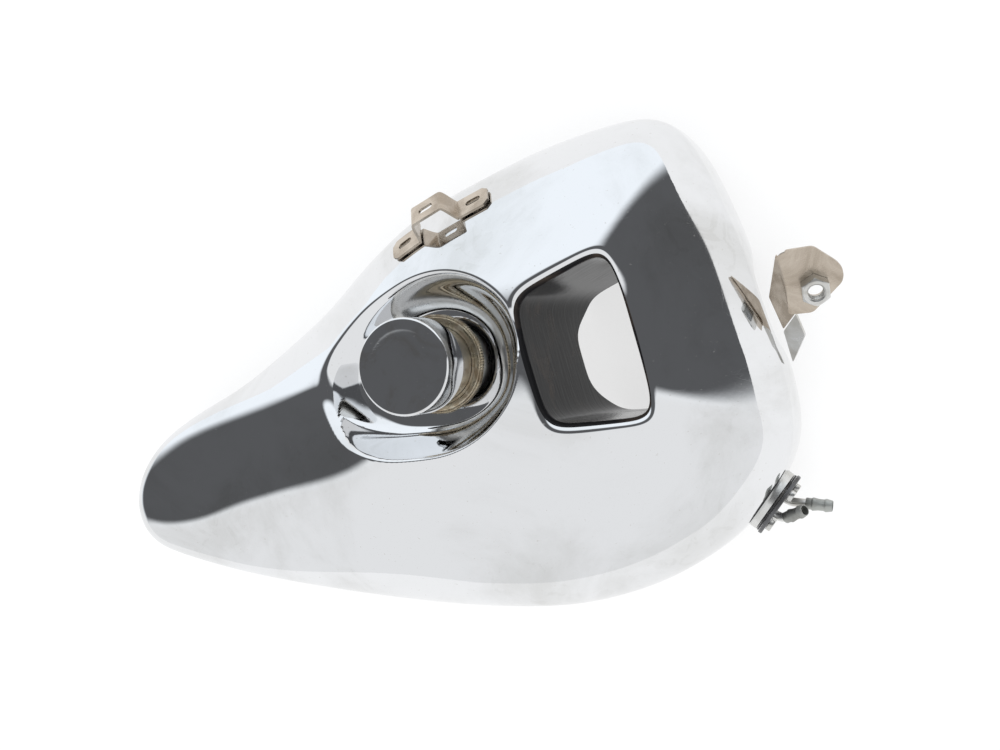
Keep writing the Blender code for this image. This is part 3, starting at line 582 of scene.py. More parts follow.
def metal_finish(name, colour, dark, rough, rough_spread, grain, depth, brushed=False):
    """Bare or plated steel with patchy tint, grain and small scratches."""
    t = Finish(name, 1.0)
    patch = t.remap(t.noise(35.0, 6.0, 0.8, rough=0.62), 0.36, 0.70, 0.0, 1.0)
    small = t.noise(grain, 4.0)
    body = t.blend(t.maths("MULTIPLY", patch, 0.8), colour, dark)
    lines = t.hairlines(16.0, 0.006, (0.4, 0.2, 1.1), warp=0.3)
    body = t.blend(t.maths("MULTIPLY", lines, 0.35), body, tuple(min(1.0, c * 1.35) for c in colour))
    rough_map = t.maths("ADD", t.maths("MULTIPLY", patch, rough_spread), rough)
    rough_map = t.maths("ADD", rough_map, t.maths("MULTIPLY", small, rough_spread * 0.5))
    if brushed:
        streak = t.noise(60.0, 3.0, 0.0, t.stretched((1.0, 24.0, 24.0), (0.0, 0.3, 0.2)))
        rough_map = t.maths("ADD", rough_map, t.maths("MULTIPLY", streak, rough_spread * 0.6))
        normal = t.bump(streak, 0.00003, 0.5)
    else:
        normal = t.bump(t.noise(60.0, 2.0), 0.0001, 0.25)
    return t.output(body, rough_map, t.bump(small, depth, 0.8, normal))


def weld_finish(name):
    """Heat-tinted weld metal: straw and brown, with a dusty matt scale."""
    t = Finish(name, 1.0)
    wide = t.remap(t.noise(60.0, 4.0, 0.6), 0.35, 0.68, 0.0, 1.0)
    narrow = t.remap(t.noise(190.0, 4.0, 0.4), 0.45, 0.70, 0.0, 1.0)
    body = t.blend(wide, (0.60, 0.52, 0.38), (0.36, 0.27, 0.18))
    body = t.blend(t.maths("MULTIPLY", narrow, 0.6), body, (0.74, 0.68, 0.55))
    rough = t.maths("ADD", t.maths("MULTIPLY", wide, 0.16), 0.24)
    return t.output(body, rough, t.bump(t.noise(520.0, 3.0), 0.00009, 0.6))


def rubber_finish(name):
    """Black rubber with a film of dust."""
    t = Finish(name, 0.0)
    dusty = t.remap(t.noise(70.0, 5.0, 0.4), 0.42, 0.72, 0.0, 1.0)
    colour = t.blend(dusty, (0.018, 0.018, 0.019), (0.055, 0.052, 0.048))
    rough = t.maths("ADD", t.maths("MULTIPLY", dusty, 0.18), 0.62)
    return t.output(colour, rough, t.bump(t.noise(900.0, 3.0), 0.00006, 0.5))


def painted_shade_well_finish(name):
    """Painted shade: near-black, barely glossy sheet inside the through-hole, standing in for the dark
    reflections of its chrome walls, with brown smears and faint roll marks.
    """
    t = Finish(name, 0.0)
    t.shader.inputs["Specular IOR Level"].default_value = 0.05
    smear = t.remap(t.noise(22.0, 5.0, 0.9, rough=0.6), 0.50, 0.78, 0.0, 1.0)
    marks = t.noise(34.0, 3.0, 0.2, t.stretched((1.0, 1.0, 9.0)))
    # the near-black base colour is painted shade for the dark reflections in the hole's chrome walls; the
    # brown smears are stains
    colour = t.blend(smear, (0.012, 0.012, 0.013), (0.06, 0.045, 0.035))
    rough = t.maths("ADD", t.maths("MULTIPLY", smear, 0.2), 0.12)
    return t.output(colour, rough, t.bump(marks, 0.0003, 0.5, t.bump(t.noise(260.0, 3.0), 0.00006, 0.4)))


# slot: material, colour, darker patches, roughness, its spread, grain scale, grain depth, brushed
METALS = {
    "plated_steel": ("zinc_plate", (0.68, 0.68, 0.67), (0.50, 0.48, 0.43), 0.20, 0.18, 300.0, 0.00004),
    "raw_steel": ("raw_sheet", (0.44, 0.44, 0.45), (0.27, 0.24, 0.21), 0.38, 0.25, 260.0, 0.00006, True),
    "dark_metal": ("dark_phosphate", (0.15, 0.15, 0.155), (0.08, 0.075, 0.07), 0.34, 0.20, 420.0, 0.00006),
    "bracket_nickel": ("dull_nickel", (0.58, 0.51, 0.43), (0.33, 0.27, 0.21), 0.12, 0.14, 240.0, 0.00005,
                       True),
    "cast_barb": ("cast_zinc", (0.46, 0.47, 0.45), (0.33, 0.33, 0.31), 0.42, 0.20, 600.0, 0.00012),
    "brass": ("brass_turned", (0.78, 0.60, 0.30), (0.55, 0.38, 0.17), 0.20, 0.18, 380.0, 0.00004),
}


def make_finishes():
    mats = {slot: metal_finish(*values) for slot, values in METALS.items()}
    mats["chrome"] = chrome_finish("chrome_plate")
    mats["cap_chrome"] = chrome_finish("cap_chrome_plate", stain=0.30)
    mats["weld_steel"] = weld_finish("weld_heat_tint")
    # near-black painted shade for the through-hole and its rolled rim
    mats["well_dark"] = painted_shade_well_finish("well_dark_sheet")
    mats["black_rubber"] = rubber_finish("rubber")
    return mats


# ---- tank skins ------------------------------------------
RAYS = 760
ROLL_STEPS = 9
TOP_STEPS = 190
SIDE_STEPS = 40
INNER_EVERY = 4
ROLL_PAINTED_SHADE = 2.6                         # how far the hole's near-black painted shade runs up the rolled edge


def tank_skin(mats):
    """Chromed outer skin, folded over into its own inner face, with the filler and outlet openings."""
    angle = ray_angles(RAYS)
    outer = shell_grid(angle, ROLL_STEPS, TOP_STEPS, SIDE_STEPS)
    normal = grid_normals(outer)
    if normal[ROLL_STEPS + 20, 0, 2] < 0:
        normal = -normal
    inner = outer - WALL * normal
    inner[0, :, 2] = outer[0, :, 2]
    inner[-1, :, 2] = outer[-1, :, 2]
    keep = sorted({*range(0, len(inner), INNER_EVERY), len(inner) - 1})
    rings = list(outer) + [inner[i] for i in keep[::-1]]
    obj = skinned("tank_skin", rings, mats["chrome"], wrap=True, sharp=50.0)
    # second slot: near-black painted shade for the hole's rolled rim
    obj.data.materials.append(mats["well_dark"])
    middle = np.empty(len(obj.data.polygons) * 3)
    obj.data.polygons.foreach_get("center", middle)
    spot = middle.reshape(-1, 3) / MM + np.array(ORIGIN)
    aside = spot[:, :2] - CENTRE
    # faces of the rolled rim next to the hole take the near-black painted shade finish
    limit = hole_radius(np.arctan2(aside[:, 1], aside[:, 0])) + ROLL_PAINTED_SHADE
    rolled = (spot[:, 2] > SEAM_Z) & (np.hypot(aside[:, 0], aside[:, 1]) < limit)
    obj.data.polygons.foreach_set("material_index", rolled.astype(np.int32))
    filler = drill(Matrix.Translation((*DISH_CENTRE, 0.0)), FLANGE_RADIUS + GAP, 80.0, 140.0, 128)
    outlet = drill(outlet_frame(), BUNG_RADIUS + GAP, -30.0, 20.0, 128)
    cut(obj, [filler, outlet])
    obj.data.set_sharp_from_angle(angle=math.radians(50.0))
    return finish_piece(obj, "tank", "tank_shell")


def outlet_frame():
    """Seat of the fuel outlet on the near lobe, square to the skin."""
    angle = ray_angles(256)
    coarse = shell_grid(angle, 6, 60, 30)
    facing = grid_normals(coarse)
    k = int(np.argmin(np.abs(np.angle(np.exp(1j * (angle - OUTLET_ANGLE))))))
    i = int(round(OUTLET_ROW * (len(coarse) - 1)))
    out = facing[i, k]
    if np.dot(out, [math.cos(OUTLET_ANGLE), math.sin(OUTLET_ANGLE), 0.4]) < 0:
        out = -out
    return axis_frame(coarse[i, k], out, (0.9, 0.3, 0.0))


def well_skin(mats):
    """Walls of the through-hole, from the rolled rim down to the underside."""
    angle = ray_angles(RAYS)
    edge = hole_radius(angle)
    x, y = spread(angle, edge)
    outside = spread(angle, edge + WALL)
    top = top_height(x, y) - RIM_RADIUS - GAP
    low = floor_height(x, y)
    steps = 16
    rings = [np.stack([x, y, low + (top - low) * i / steps], axis=1) for i in range(steps + 1)]
    rings += [np.stack([*outside, low + (top - low) * i / steps], axis=1) for i in (steps, 0)]
    # the hole's walls are near-black: painted shade standing in for dark reflections in the chrome
    well = skinned("well_skin", rings, mats["well_dark"], wrap=True)
    return finish_piece(well, "tank", "hole_sleeve")


def underside_skin(mats):
    """Underside sheet with the arch over the frame tube and a stamped stiffening bead round each lobe."""
    angle = ray_angles(RAYS // 2)
    ray = np.stack([np.cos(angle), np.sin(angle)], axis=1)
    rim = CENTRE + ray * (outer_radius(angle) * (1 - TUCK))[:, None]
    along = np.roll(rim, -1, axis=0) - np.roll(rim, 1, axis=0)
    side = 1.0 if ray_turns_left(angle) else -1.0
    out = side * np.stack([along[:, 1], -along[:, 0]], axis=1)
    rim = rim - out / np.linalg.norm(along, axis=1)[:, None] * (WALL + 3 * GAP)
    start = CENTRE + ray * (hole_radius(angle) + WALL + GAP)[:, None]
    steps = 72
    bead_height, bead_inset, bead_width = 1.4, 15.0, 3.2
    lower = []
    for i in range(steps + 1):
        spot = start + (rim - start) * i / steps
        edge_gap = np.linalg.norm(rim - spot, axis=1)
        bead = bead_height * np.exp(-((edge_gap - bead_inset) / bead_width) ** 2)
        lower.append(np.column_stack([spot, floor_height(spot[:, 0], spot[:, 1]) + bead]))
    upper = [ring + np.array([0.0, 0.0, WALL]) for ring in lower]
    pan = skinned("underside_skin", lower + upper[::-1], mats["chrome"], wrap=True)
    return finish_piece(pan, "tank", "bottom_pan")


def ray_turns_left(angle):
    return np.sum(np.angle(np.exp(1j * (np.roll(angle, -1) - angle)))) > 0


# ---- filler and cap --------------------------------------
def fillet_ring(name, frame, radius, height, bead, count, mat):
    """Weld bead made of overlapping ripples round a circle."""
    around = 720
    section = 12
    rings = []
    for j in range(around):
        a = 2 * math.pi * j / around
        ripple = abs(math.sin(0.5 * count * a))
        size = bead * (0.80 + 0.20 * ripple)
        shift = 0.18 * bead * math.sin(3.0 * a) * math.sin(11.0 * a)
        ring = []
        for k in range(section):
            b = 2 * math.pi * k / section
            reach = radius + shift + size * math.cos(b)
            ring.append((reach * math.cos(a), reach * math.sin(a), height + 0.8 * size * math.sin(b)))
        rings.append(place(ring, frame))
    return skinned(name, rings, mat, wrap=True, sharp=None)


def thread_rings(radius, depth, low, high, shift=0.0, rows_per_turn=14, segments=96, pitch=CAP_PITCH):
    """Helical thread that fades in and out over its first and last 2 mm."""
    rows = int(round((high - low) / pitch * rows_per_turn))
    rings = []
    for i in range(rows + 1):
        z = low + (high - low) * i / rows
        fade = max(min(1.0, (z - low) / 2.0, (high - z) / 2.0), 0.0)
        ring = []
        for j in range(segments):
            a = 2 * math.pi * j / segments
            phase = (z / pitch - a / (2 * math.pi) + shift) % 1.0
            wave = 0.5 - 0.5 * math.cos(2 * math.pi * phase)
            r = radius + depth * fade * wave
            ring.append((r * math.cos(a), r * math.sin(a), z))
        rings.append(ring)
    return rings


def arc_profile(centre, radius, start, end, steps=6):
    """Points of a rounded corner in a lathe profile, angles in degrees."""
    out = []
    for i in range(steps + 1):
        a = math.radians(start + (end - start) * i / steps)
        out.append((centre[0] + radius * math.cos(a), centre[1] + radius * math.sin(a)))
    return out


def filler_set(mats):
    frame = Matrix.Translation((*DISH_CENTRE, 0.0))
    base = DISH_FLOOR_Z
    inside = NECK_OUTER + GAP
    profile = [(inside, base - 3.0), (FLANGE_RADIUS, base - 3.0)]
    profile += [(FLANGE_RADIUS, base + 1.6)] + arc_profile((FLANGE_RADIUS - 1.4, base + 1.8), 1.4, 0, 90)
    profile += [(inside + 2.4, base + 3.2), (inside + 1.8, base + 2.7), (inside, base + 2.7)]
    ring = lathe("filler_ring", profile, frame, mats["weld_steel"], segments=160)
    finish_piece(ring, "tank", "filler_flange")
    ripples = 110
    seam = fillet_ring("filler_weld", frame, FLANGE_RADIUS + 0.2, base + 1.2, 1.25, ripples,
                       mats["weld_steel"])
    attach(seam, "tank")
    thread = thread_rings(NECK_INNER, -1.2, NECK_TOP - 19.0, NECK_TOP - 3.0)
    rings = [circle(NECK_INNER, base - 22.0), circle(NECK_OUTER, base - 22.0),
             circle(NECK_OUTER, base + 8.0), circle(NECK_OUTER, NECK_TOP - 0.6),
             circle(NECK_OUTER - 0.6, NECK_TOP), circle(NECK_INNER + 1.0, NECK_TOP)] + thread[::-1]
    neck = skinned("neck_tube", [place(r, frame) for r in rings], mats["plated_steel"], wrap=True)
    finish_piece(neck, "tank", "filler_neck")


def cap_set(mats):
    frame = Matrix.Translation((*DISH_CENTRE, 0.0))
    top = CAP_TOP_Z
    low = top - CAP_HEIGHT
    skirt = CAP_RADIUS - 1.8
    dished = 0.5                        # how far the middle of the cap's face is sunk
    profile = [(0.4, top - dished)]
    profile += [(r, top - dished * (1 - (r / 28.0) ** 6)) for r in (8.0, 14.0, 19.0, 23.0, 26.0, 28.0)]
    profile += [(CAP_RADIUS - 2.2, top)] + arc_profile((CAP_RADIUS - 1.6, top - 1.6), 1.6, 90, 0)
    profile += [(CAP_RADIUS, top - 8.0), (CAP_RADIUS, low + 0.6), (CAP_RADIUS - 0.6, low), (skirt, low),
                (skirt, top - 1.8), (0.4, top - 1.8)]
    shell = lathe("cap_cover", profile, frame, mats["cap_chrome"], segments=192, solid=True)
    finish_piece(shell, "cap", "cap_shell")
    plug_top = top - 3.3
    lip = NECK_TOP + 2.6
    shank = NECK_INNER - 1.8
    thread = thread_rings(shank, 1.2, NECK_TOP - 17.0, NECK_TOP - 5.0, shift=0.5)
    rings = [circle(9.0, NECK_TOP - 18.0), circle(shank - 1.0, NECK_TOP - 18.0)] + thread
    rings += [circle(shank, lip), circle(skirt - GAP, lip), circle(skirt - GAP, plug_top),
              circle(9.0, plug_top)]
    core = skinned("cap_core", [place(r, frame) for r in rings], mats["dark_metal"], wrap=True)
    finish_piece(core, "cap", "cap_insert")
    outer = NECK_OUTER + 1.5
    inner = shank + 0.6
    profile = [(inner, NECK_TOP + GAP), (outer - 0.5, NECK_TOP + GAP), (outer, NECK_TOP + 0.8),
               (outer, lip - 0.8), (outer - 0.5, lip - GAP), (inner, lip - GAP)]
    seal = lathe("cap_seal", profile, frame, mats["black_rubber"], segments=128)
    finish_piece(seal, "cap_lift", "cap_gasket")


def spring_coil(mats):
    """Vent spring: a wire coil of four turns, carried on the cap."""
    x, y = DISH_CENTRE
    base = NECK_TOP - 9.2
    wire = 0.5
    length = 12.0
    turns = 4
    steps = turns * 40
    path = []
    for i in range(steps + 1):
        a = 2 * math.pi * turns * i / steps
        path.append((x + 4.2 * math.cos(a), y + 4.2 * math.sin(a), base + length * i / steps))
    coil = skinned("spring_coil", tube_rings(path, wire, 12), mats["plated_steel"], sharp=60.0)
    finish_piece(coil, "cap", "vent_spring")
    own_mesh(coil)


# ---- brackets --------------------------------------------
def top_normal(x, y, step=2.0):
    zx = (float(top_height(x + step, y)) - float(top_height(x - step, y))) / (2 * step)
    zy = (float(top_height(x, y + step)) - float(top_height(x, y - step))) / (2 * step)
    return Vector((-zx, -zy, 1.0)).normalized()


def surface_lift(point, normal):
    """How far a point stands above the skin, measured along the strap's normal."""
    lift = 0.0
    for _ in range(6):
        spot = point - normal * lift
        lift += (spot.z - float(top_height(np.float64(spot.x), np.float64(spot.y)))) * normal.z
    return lift


def offset_profile(line, distance):
    """Run and height pairs moved square to the line, for a sheet of even thickness."""
    pts = np.array(line)
    ahead = np.gradient(pts, axis=0)
    normal = np.column_stack([-ahead[:, 1], ahead[:, 0]])
    normal /= np.linalg.norm(normal, axis=1)[:, None]
    return pts + normal * distance


def hat_strap(mats):
    """Hat-section strap: slotted feet that follow the shoulder and a raised slotted crown."""
    x, y = HAT_CENTRE
    centre = Vector((x, y, float(top_height(np.float64(x), np.float64(y)))))
    normal = top_normal(x, y)
    along = Vector((*HAT_ALONG, 0.0)).normalized()
    along = (along - normal * along.dot(normal)).normalized()
    across = normal.cross(along)
    reach = 43.0
    runs = np.concatenate([np.arange(-reach, -18.0, 1.0), np.arange(-18.0, -9.0, 0.3),
                           np.arange(-9.0, 9.1, 1.5), np.arange(9.3, 18.1, 0.3),
                           np.arange(19.0, reach + 0.1, 1.0)])
    grid = []
    for share in np.linspace(-0.5, 0.5, 7):
        line = []
        for run in runs:
            point = centre + along * run + across * (share * HAT_WIDTH)
            foot = -surface_lift(point, normal) + 1.3
            rise = float(ease((17.0 - abs(run)) / 5.6))
            line.append((run, foot * (1 - rise) + (HAT_CROWN - 1.0) * rise))
        grid.append((share, line, offset_profile(line, SHEET)))
    rings = []
    for k in range(len(runs)):
        clip = max(0.0, abs(runs[k]) - (reach - 4.0)) * 0.9
        low = []
        high = []
        for share, line, upper in grid:
            width = share * (HAT_WIDTH - 2 * clip)
            low.append(tuple(centre + along * line[k][0] + across * width + normal * line[k][1]))
            high.append(tuple(centre + along * upper[k][0] + across * width + normal * upper[k][1]))
        rings.append(low + high[::-1])
    strap = skinned("hat_strap", rings, mats["bracket_nickel"], sharp=40.0)
    frame = Matrix((along, across, normal)).transposed().to_4x4()
    cutters = []
    for run in HAT_SLOTS:
        frame.translation = centre + along * run
        verts, faces = prism(slot_outline(3.5, 2.6), -14.0, 30.0)
        cutters.append(make_object("cutter", place(verts, frame), faces, None))
    cut(strap, cutters)
    bevel(strap, 0.35)
    return finish_piece(strap, "tank", "hat_bracket")


def rounded(outline, radius, steps=6):
    """Outline with each corner replaced by a short arc-like curve."""
    count = len(outline)
    out = []
    for i in range(count):
        corner = Vector(outline[i])
        before = Vector(outline[i - 1]) - corner
        after = Vector(outline[(i + 1) % count]) - corner
        reach = min(radius, 0.4 * before.length, 0.4 * after.length)
        start = corner + before.normalized() * reach
        end = corner + after.normalized() * reach
        for k in range(steps + 1):
            s = k / steps
            out.append(tuple(start * (1 - s) ** 2 + corner * 2 * s * (1 - s) + end * s * s))
    return out


def slab(name, outline, thickness, mat, radius=1.5):
    """Flat plate with rounded corners on an outline of points in space."""
    pts = [Vector(p) for p in outline]
    normal = (pts[1] - pts[0]).cross(pts[-1] - pts[0]).normalized()
    flat = [p - normal * (p - pts[0]).dot(normal) for p in pts]
    flat = [Vector(p) for p in rounded([tuple(p) for p in flat], radius)]
    rings = [[tuple(p) for p in flat], [tuple(p + normal * thickness) for p in flat]]
    return skinned(name, rings, mat, sharp=30.0)


def bend_strip(name, frame, mat):
    """Folded corner of the front bracket, from the tab's rear edge down to the top of the arm."""
    along_steps = 24
    turn_steps = 8
    low = Vector(ARM_OUTLINE[1])
    high = Vector(ARM_OUTLINE[0])
    down = (Vector(ARM_OUTLINE[3]) - high).normalized()
    half = 0.5 * SHEET
    rings = []
    for i in range(along_steps + 1):
        s = i / along_steps
        sideways = -23.0 + 46.5 * s
        edge = frame @ Vector((3.0, sideways, -half))
        foot = low.lerp(high, 0.02 + 0.96 * s) + down * 2.0
        corner = frame @ Vector((-1.0, sideways, -half))
        path = []
        for k in range(turn_steps + 1):
            u = k / turn_steps
            path.append(edge * (1 - u) ** 2 + corner * 2 * u * (1 - u) + foot * u * u)
        upper = []
        lower = []
        for k, point in enumerate(path):
            ahead = path[min(k + 1, turn_steps)] - path[max(k - 1, 0)]
            side = frame.to_3x3() @ Vector((0.0, 1.0, 0.0))
            normal = ahead.cross(side).normalized() * half
            upper.append(tuple(point + normal))
            lower.append(tuple(point - normal))
        rings.append(upper + lower[::-1])
    return skinned(name, rings, mat, sharp=50.0)


def front_set(mats):
    frame = axis_frame(TAB_BEND, TAB_NORMAL, TAB_FORWARD)
    verts, faces = prism(rounded(TAB_OUTLINE, 3.0), -SHEET, 0.0)
    tab = make_object("mount_tab", place(verts, frame), faces, mats["bracket_nickel"])
    spot = frame @ Matrix.Translation((*NUT_SPOT, 0.0))
    cut(tab, [drill(spot, NUT_HOLE + 0.6, -6.0, 6.0)])
    bevel(tab, 0.3)
    finish_piece(tab, "tank", "front_tab")
    riser = slab("mount_arm", ARM_OUTLINE, SHEET, mats["bracket_nickel"])
    bevel(riser, 0.3)
    finish_piece(riser, "tank", "front_riser")
    bend = bend_strip("mount_bend", frame, mats["bracket_nickel"])
    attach(bend, "tank")
    foot = slab("mount_foot", FOOT_OUTLINE, SHEET, mats["plated_steel"])
    bevel(foot, 0.3)
    finish_piece(foot, "tank", "front_doubler")
    seat = spot @ Matrix.Translation((0.0, 0.0, GAP))
    nut = hex_nut("tab_nut", seat, mats["plated_steel"])
    finish_piece(nut, "tank", "weld_nut")


def hex_nut(name, frame, mat):
    """Weld nut: six flats, corners turned off at the top, chamfered threaded bore."""
    count = 96
    rings = []
    corner_radius = NUT_FLATS / 2 / math.cos(math.pi / 6)
    rows = [(0.985, 0.0), (1.0, 0.3), (1.0, NUT_HEIGHT - 2.0)]
    rows += [(1.0, NUT_HEIGHT - 2.0 + 2.0 * k / 8) for k in range(1, 9)]
    for scale, height in rows:
        turned = corner_radius - 1.7 * max(0.0, height - (NUT_HEIGHT - 1.25))
        ring = []
        for j in range(count):
            a = 2 * math.pi * j / count
            off = (a + math.pi / 6) % (math.pi / 3) - math.pi / 6
            r = min(scale * NUT_FLATS / 2 / math.cos(off), turned)
            ring.append((r * math.cos(a), r * math.sin(a), height))
        rings.append(ring)
    rings.append(circle(NUT_HOLE + 1.0, NUT_HEIGHT, count))
    bore = thread_rings(NUT_HOLE, -0.6, 0.6, NUT_HEIGHT - 0.8, rows_per_turn=8, segments=count,
                        pitch=NUT_PITCH)
    rings += bore[::-1]
    rings.append(circle(NUT_HOLE + 0.6, 0.0, count))
    return skinned(name, [place(ring, frame) for ring in rings], mat, wrap=True, sharp=25.0)


# ---- fuel outlet -----------------------------------------
def barb_profile(bore):
    """Hose tail with two rounded saw-tooth ridges and a collar."""
    out = [(bore, 0.0), (4.0, 0.0), (4.2, 0.3), (4.2, 3.8)]
    out += [(4.3, 4.3), (4.75, 4.8), (4.9, 5.1), (4.85, 5.5), (4.25, 8.8), (4.2, 9.2), (4.2, 12.6)]
    out += [(4.35, 13.2), (4.8, 14.1), (4.9, 14.5), (4.8, 15.0), (4.1, 18.5), (3.9, 19.0), (bore, 19.0)]
    return out


def outlet_set(mats):
    frame = outlet_frame()
    face = 3.5
    steel = mats["plated_steel"]
    ring = [(BUNG_BORE, face - 9.0), (BUNG_RADIUS, face - 9.0), (BUNG_RADIUS, face - 0.6),
            (BUNG_RADIUS - 0.6, face), (BUNG_BORE, face)]
    bung = lathe("bung_ring", ring, frame, steel, segments=128)
    finish_piece(bung, "tank", "outlet_bung")
    joint = [(BUNG_BORE, face + GAP), (BUNG_RADIUS, face + GAP), (BUNG_RADIUS, face + 1.5),
             (BUNG_BORE, face + 1.5)]
    gasket = lathe("joint_ring", joint, frame, mats["black_rubber"], segments=128)
    finish_piece(gasket, "tank", "outlet_gasket")
    edge = BUNG_RADIUS + 1
    plate = [(0.5, face + 1.8), (edge - 0.4, face + 1.8), (edge, face + 2.2), (edge, face + 4.0),
             (edge - 0.6, face + 4.6), (0.5, face + 4.6)]
    flange = lathe("outlet_plate", plate, frame, mats["dark_metal"], segments=128, solid=True)
    cutters = []
    for k in range(4):
        a = math.radians(45 + 90 * k)
        spot = frame @ Matrix.Translation((BOLT_CIRCLE * math.cos(a), BOLT_CIRCLE * math.sin(a), 0.0))
        cutters.append(drill(spot, 2.9, -20.0, 20.0, 32))
        bolt(k, spot, face, steel)
    # name, place on the flange, direction outside, straight part, bend radius, length after the bend
    ports = (("supply", (5.5, -3.5), (0.93, -0.36, -0.05), 9.0, 12.0, 22.0),
             ("return", (-6.0, 6.5), (0.80, 0.12, 0.45), 9.0, 9.0, 12.0))
    out = frame.to_3x3() @ Vector((0, 0, 1))
    for name, spot_xy, forward, lead, radius, tail in ports:
        spot = frame @ Matrix.Translation((spot_xy[0], spot_xy[1], 0.0))
        cutters.append(drill(spot, TUBE_R + GAP, -10.0, 20.0, 48))
        start = frame @ Vector((spot_xy[0], spot_xy[1], face - 4.0))
        path = bend_path(start, out, forward, lead, radius, tail)
        tube = pipe(name + "_line", path, TUBE_R, TUBE_BORE, steel)
        finish_piece(tube, "tank", name + "_tube")
        aim = Vector(forward).normalized()
        seat = axis_frame(path[-1] - aim * 14.0, aim, (0, 0, 1))
        tail_piece = lathe(name + "_tail", barb_profile(TUBE_R + GAP), seat, mats["cast_barb"], segments=64)
        finish_piece(tail_piece, "tank", name + "_barb")
    cut(flange, cutters)
    finish_piece(flange, "tank", "outlet_flange")


def bolt(k, spot, face, mat):
    """Cap screw with a washer face and a hexagon socket."""
    head = [(0.2, face - 5.0), (2.2, face - 5.0), (2.5, face - 4.7), (2.5, face + 4.9), (4.0, face + 4.9),
            (4.3, face + 5.2), (4.3, face + 7.7), (4.1, face + 8.15), (3.6, face + 8.4), (0.2, face + 8.4)]
    obj = lathe("flange_screw_%d" % (k + 1), head, spot, mat, segments=48, solid=True, sharp=30.0)
    hexagon = [(1.9 * math.cos(math.pi * j / 3), 1.9 * math.sin(math.pi * j / 3)) for j in range(6)]
    verts, faces = prism(hexagon, face + 5.9, face + 12.0)
    cut(obj, [make_object("cutter", place(verts, spot), faces, None)])
    return finish_piece(obj, "tank", "outlet_bolt_%d" % (k + 1))


# ---- rear mount ------------------------------------------
def rear_set(mats):
    outline = [(-11.0, 0.0), (11.0, 0.0), (11.0, 26.0), (7.0, 31.0), (-7.0, 31.0), (-11.0, 26.0)]
    lug_x = 52.0
    thick = 2.5
    middle = float(tunnel_y(lug_x))
    crown = TUNNEL_RISE - 10.0
    shape = rounded(outline, 2.5)
    rings = [[(x, y + middle, crown - z) for y, z in shape] for x in (lug_x, lug_x + thick)]
    lug = skinned("tail_lug", rings, mats["plated_steel"])
    frame = Matrix.Translation((lug_x + thick / 2, middle, crown - 18.0))
    frame = frame @ Matrix.Rotation(math.pi / 2, 4, "Y")
    cut(lug, [drill(frame, 6.0, -6.0, 6.0)])
    bevel(lug, 0.3)
    finish_piece(lug, "tank", "rear_lug")
    profile = [(3.2, -6.0), (5.3, -6.0), (5.7, -5.6), (5.7, 5.6), (5.3, 6.0), (3.2, 6.0)]
    bush = lathe("tail_bush", profile, frame, mats["black_rubber"], segments=64)
    finish_piece(bush, "tank", "rear_bush")


# ---- stage -----------------------------------------------
def floor():
    """Pale sheet that gives off part of its own light, so that it stays near white under the tank."""
    size = 60.0
    sunk = -0.0004
    mesh = bpy.data.meshes.new("floor")
    corners = [(-size, -size, sunk), (size, -size, sunk), (size, size, sunk), (-size, size, sunk)]
    mesh.from_pydata(corners, [], [(0, 1, 2, 3)])
    obj = add_object("floor", mesh)
    mat = bpy.data.materials.new("pale_floor")
    mat.use_nodes = True
    shader = mat.node_tree.nodes["Principled BSDF"]
    shader.inputs["Base Color"].default_value = (0.30, 0.30, 0.30, 1.0)
    shader.inputs["Roughness"].default_value = 0.9
    shader.inputs["Specular IOR Level"].default_value = 0.0
    shader.inputs["Emission Color"].default_value = (1.0, 1.0, 1.0, 1.0)
    shader.inputs["Emission Strength"].default_value = 0.69
    mesh.materials.append(mat)


# where the tent turns from dark to bright, as parts of a unit direction
LEFT_EDGE = (0.36, 0.54)
RIGHT_EDGE = (0.02, -0.10)
LOW_EDGE = (0.16, -0.02)
AHEAD_EDGE = (0.8, 0.45)                # the low light fades out ahead of the tank
DARK = (0.114, 0.117, 0.123)
LEFT_BOX = (1.10, 1.16, 1.22)
RIGHT_BOX = (0.95, 0.96, 0.97)


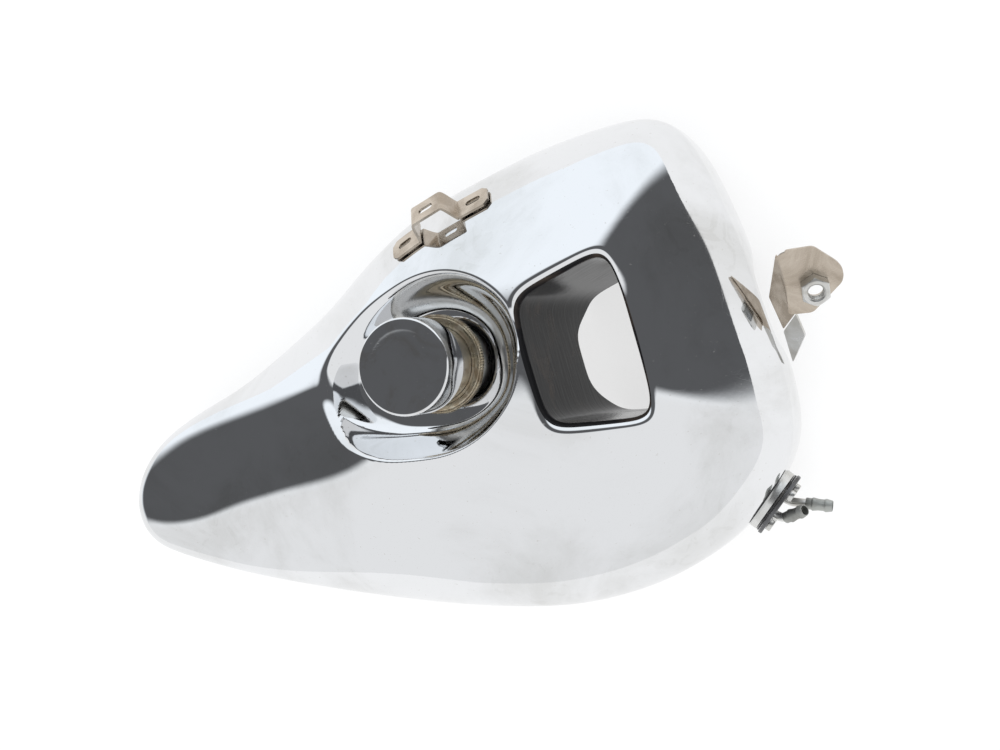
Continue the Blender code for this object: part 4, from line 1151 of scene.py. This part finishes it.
def studio_world():
    """Pale tent: bright to the tank's left, right and low down, dark in a strip overhead."""
    world = bpy.data.worlds.new("studio")
    bpy.context.scene.world = world
    world.use_nodes = True
    t = Nodes(world.node_tree)
    split = t.add("ShaderNodeSeparateXYZ")
    t.feed(t.add("ShaderNodeTexCoord").outputs["Generated"], split.inputs["Vector"])
    ahead, aside, height = (split.outputs[axis] for axis in "XYZ")
    left = t.remap(aside, *LEFT_EDGE)
    right = t.remap(aside, *RIGHT_EDGE)
    low = t.maths("MULTIPLY", t.remap(height, *LOW_EDGE), t.remap(ahead, *AHEAD_EDGE))
    bright = t.maths("MAXIMUM", t.maths("MAXIMUM", left, right), low)
    boxes = t.blend(t.remap(aside, -0.2, 0.2), RIGHT_BOX, LEFT_BOX)
    shade = t.tree.nodes["Background"]
    t.feed(t.blend(bright, DARK, boxes), shade.inputs["Color"])
    shade.inputs["Strength"].default_value = 1.0


def key_light():
    """Wide soft sun that lights the matt surfaces and leaves no highlight on the chrome."""
    data = bpy.data.lights.new("soft_key", "SUN")
    data.energy = 1.9
    data.angle = math.radians(110.0)
    lamp = add_object("soft_key", data)
    lamp.rotation_euler = (math.radians(12.0), math.radians(10.0), 0.0)
    lamp.visible_glossy = False


def camera():
    data = bpy.data.cameras.new("camera")
    data.lens = CAMERA_LENS
    data.sensor_width = 36.0
    data.clip_start = 0.01
    data.clip_end = 200.0
    obj = add_object("camera", data)
    axes = [Vector(axis).normalized() for axis in (CAMERA_RIGHT, CAMERA_UP, CAMERA_BACK)]
    pose = Matrix(axes).transposed().to_4x4()
    pose.translation = Matrix(axes).transposed() @ Vector(CAMERA_OFFSET)
    obj.matrix_world = pose
    bpy.context.scene.camera = obj


# the inner CAD nodes that are kept as they are
HIDDEN_FINISH = {
    "vent_plunger": "brass", "vent_seat": "brass", "vent_retainer": "brass",
    "pickup_pipe": "plated_steel", "pickup_strainer": "brass", "return_pipe": "plated_steel",
    "vent_pipe": "plated_steel", "left_baffle": "raw_steel", "right_baffle": "raw_steel",
}


def main():
    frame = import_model()
    mats = make_finishes()
    tank_skin(mats)
    well_skin(mats)
    underside_skin(mats)
    filler_set(mats)
    cap_set(mats)
    spring_coil(mats)
    hat_strap(mats)
    front_set(mats)
    outlet_set(mats)
    rear_set(mats)
    for node, finish in HIDDEN_FINISH.items():
        for place_slot in frame["nodes"][node].material_slots:
            place_slot.material = mats[finish]
    floor()
    studio_world()
    key_light()
    camera()
    bpy.context.scene.view_settings.view_transform = "Standard"
    bpy.context.scene.view_settings.look = "None"


main()
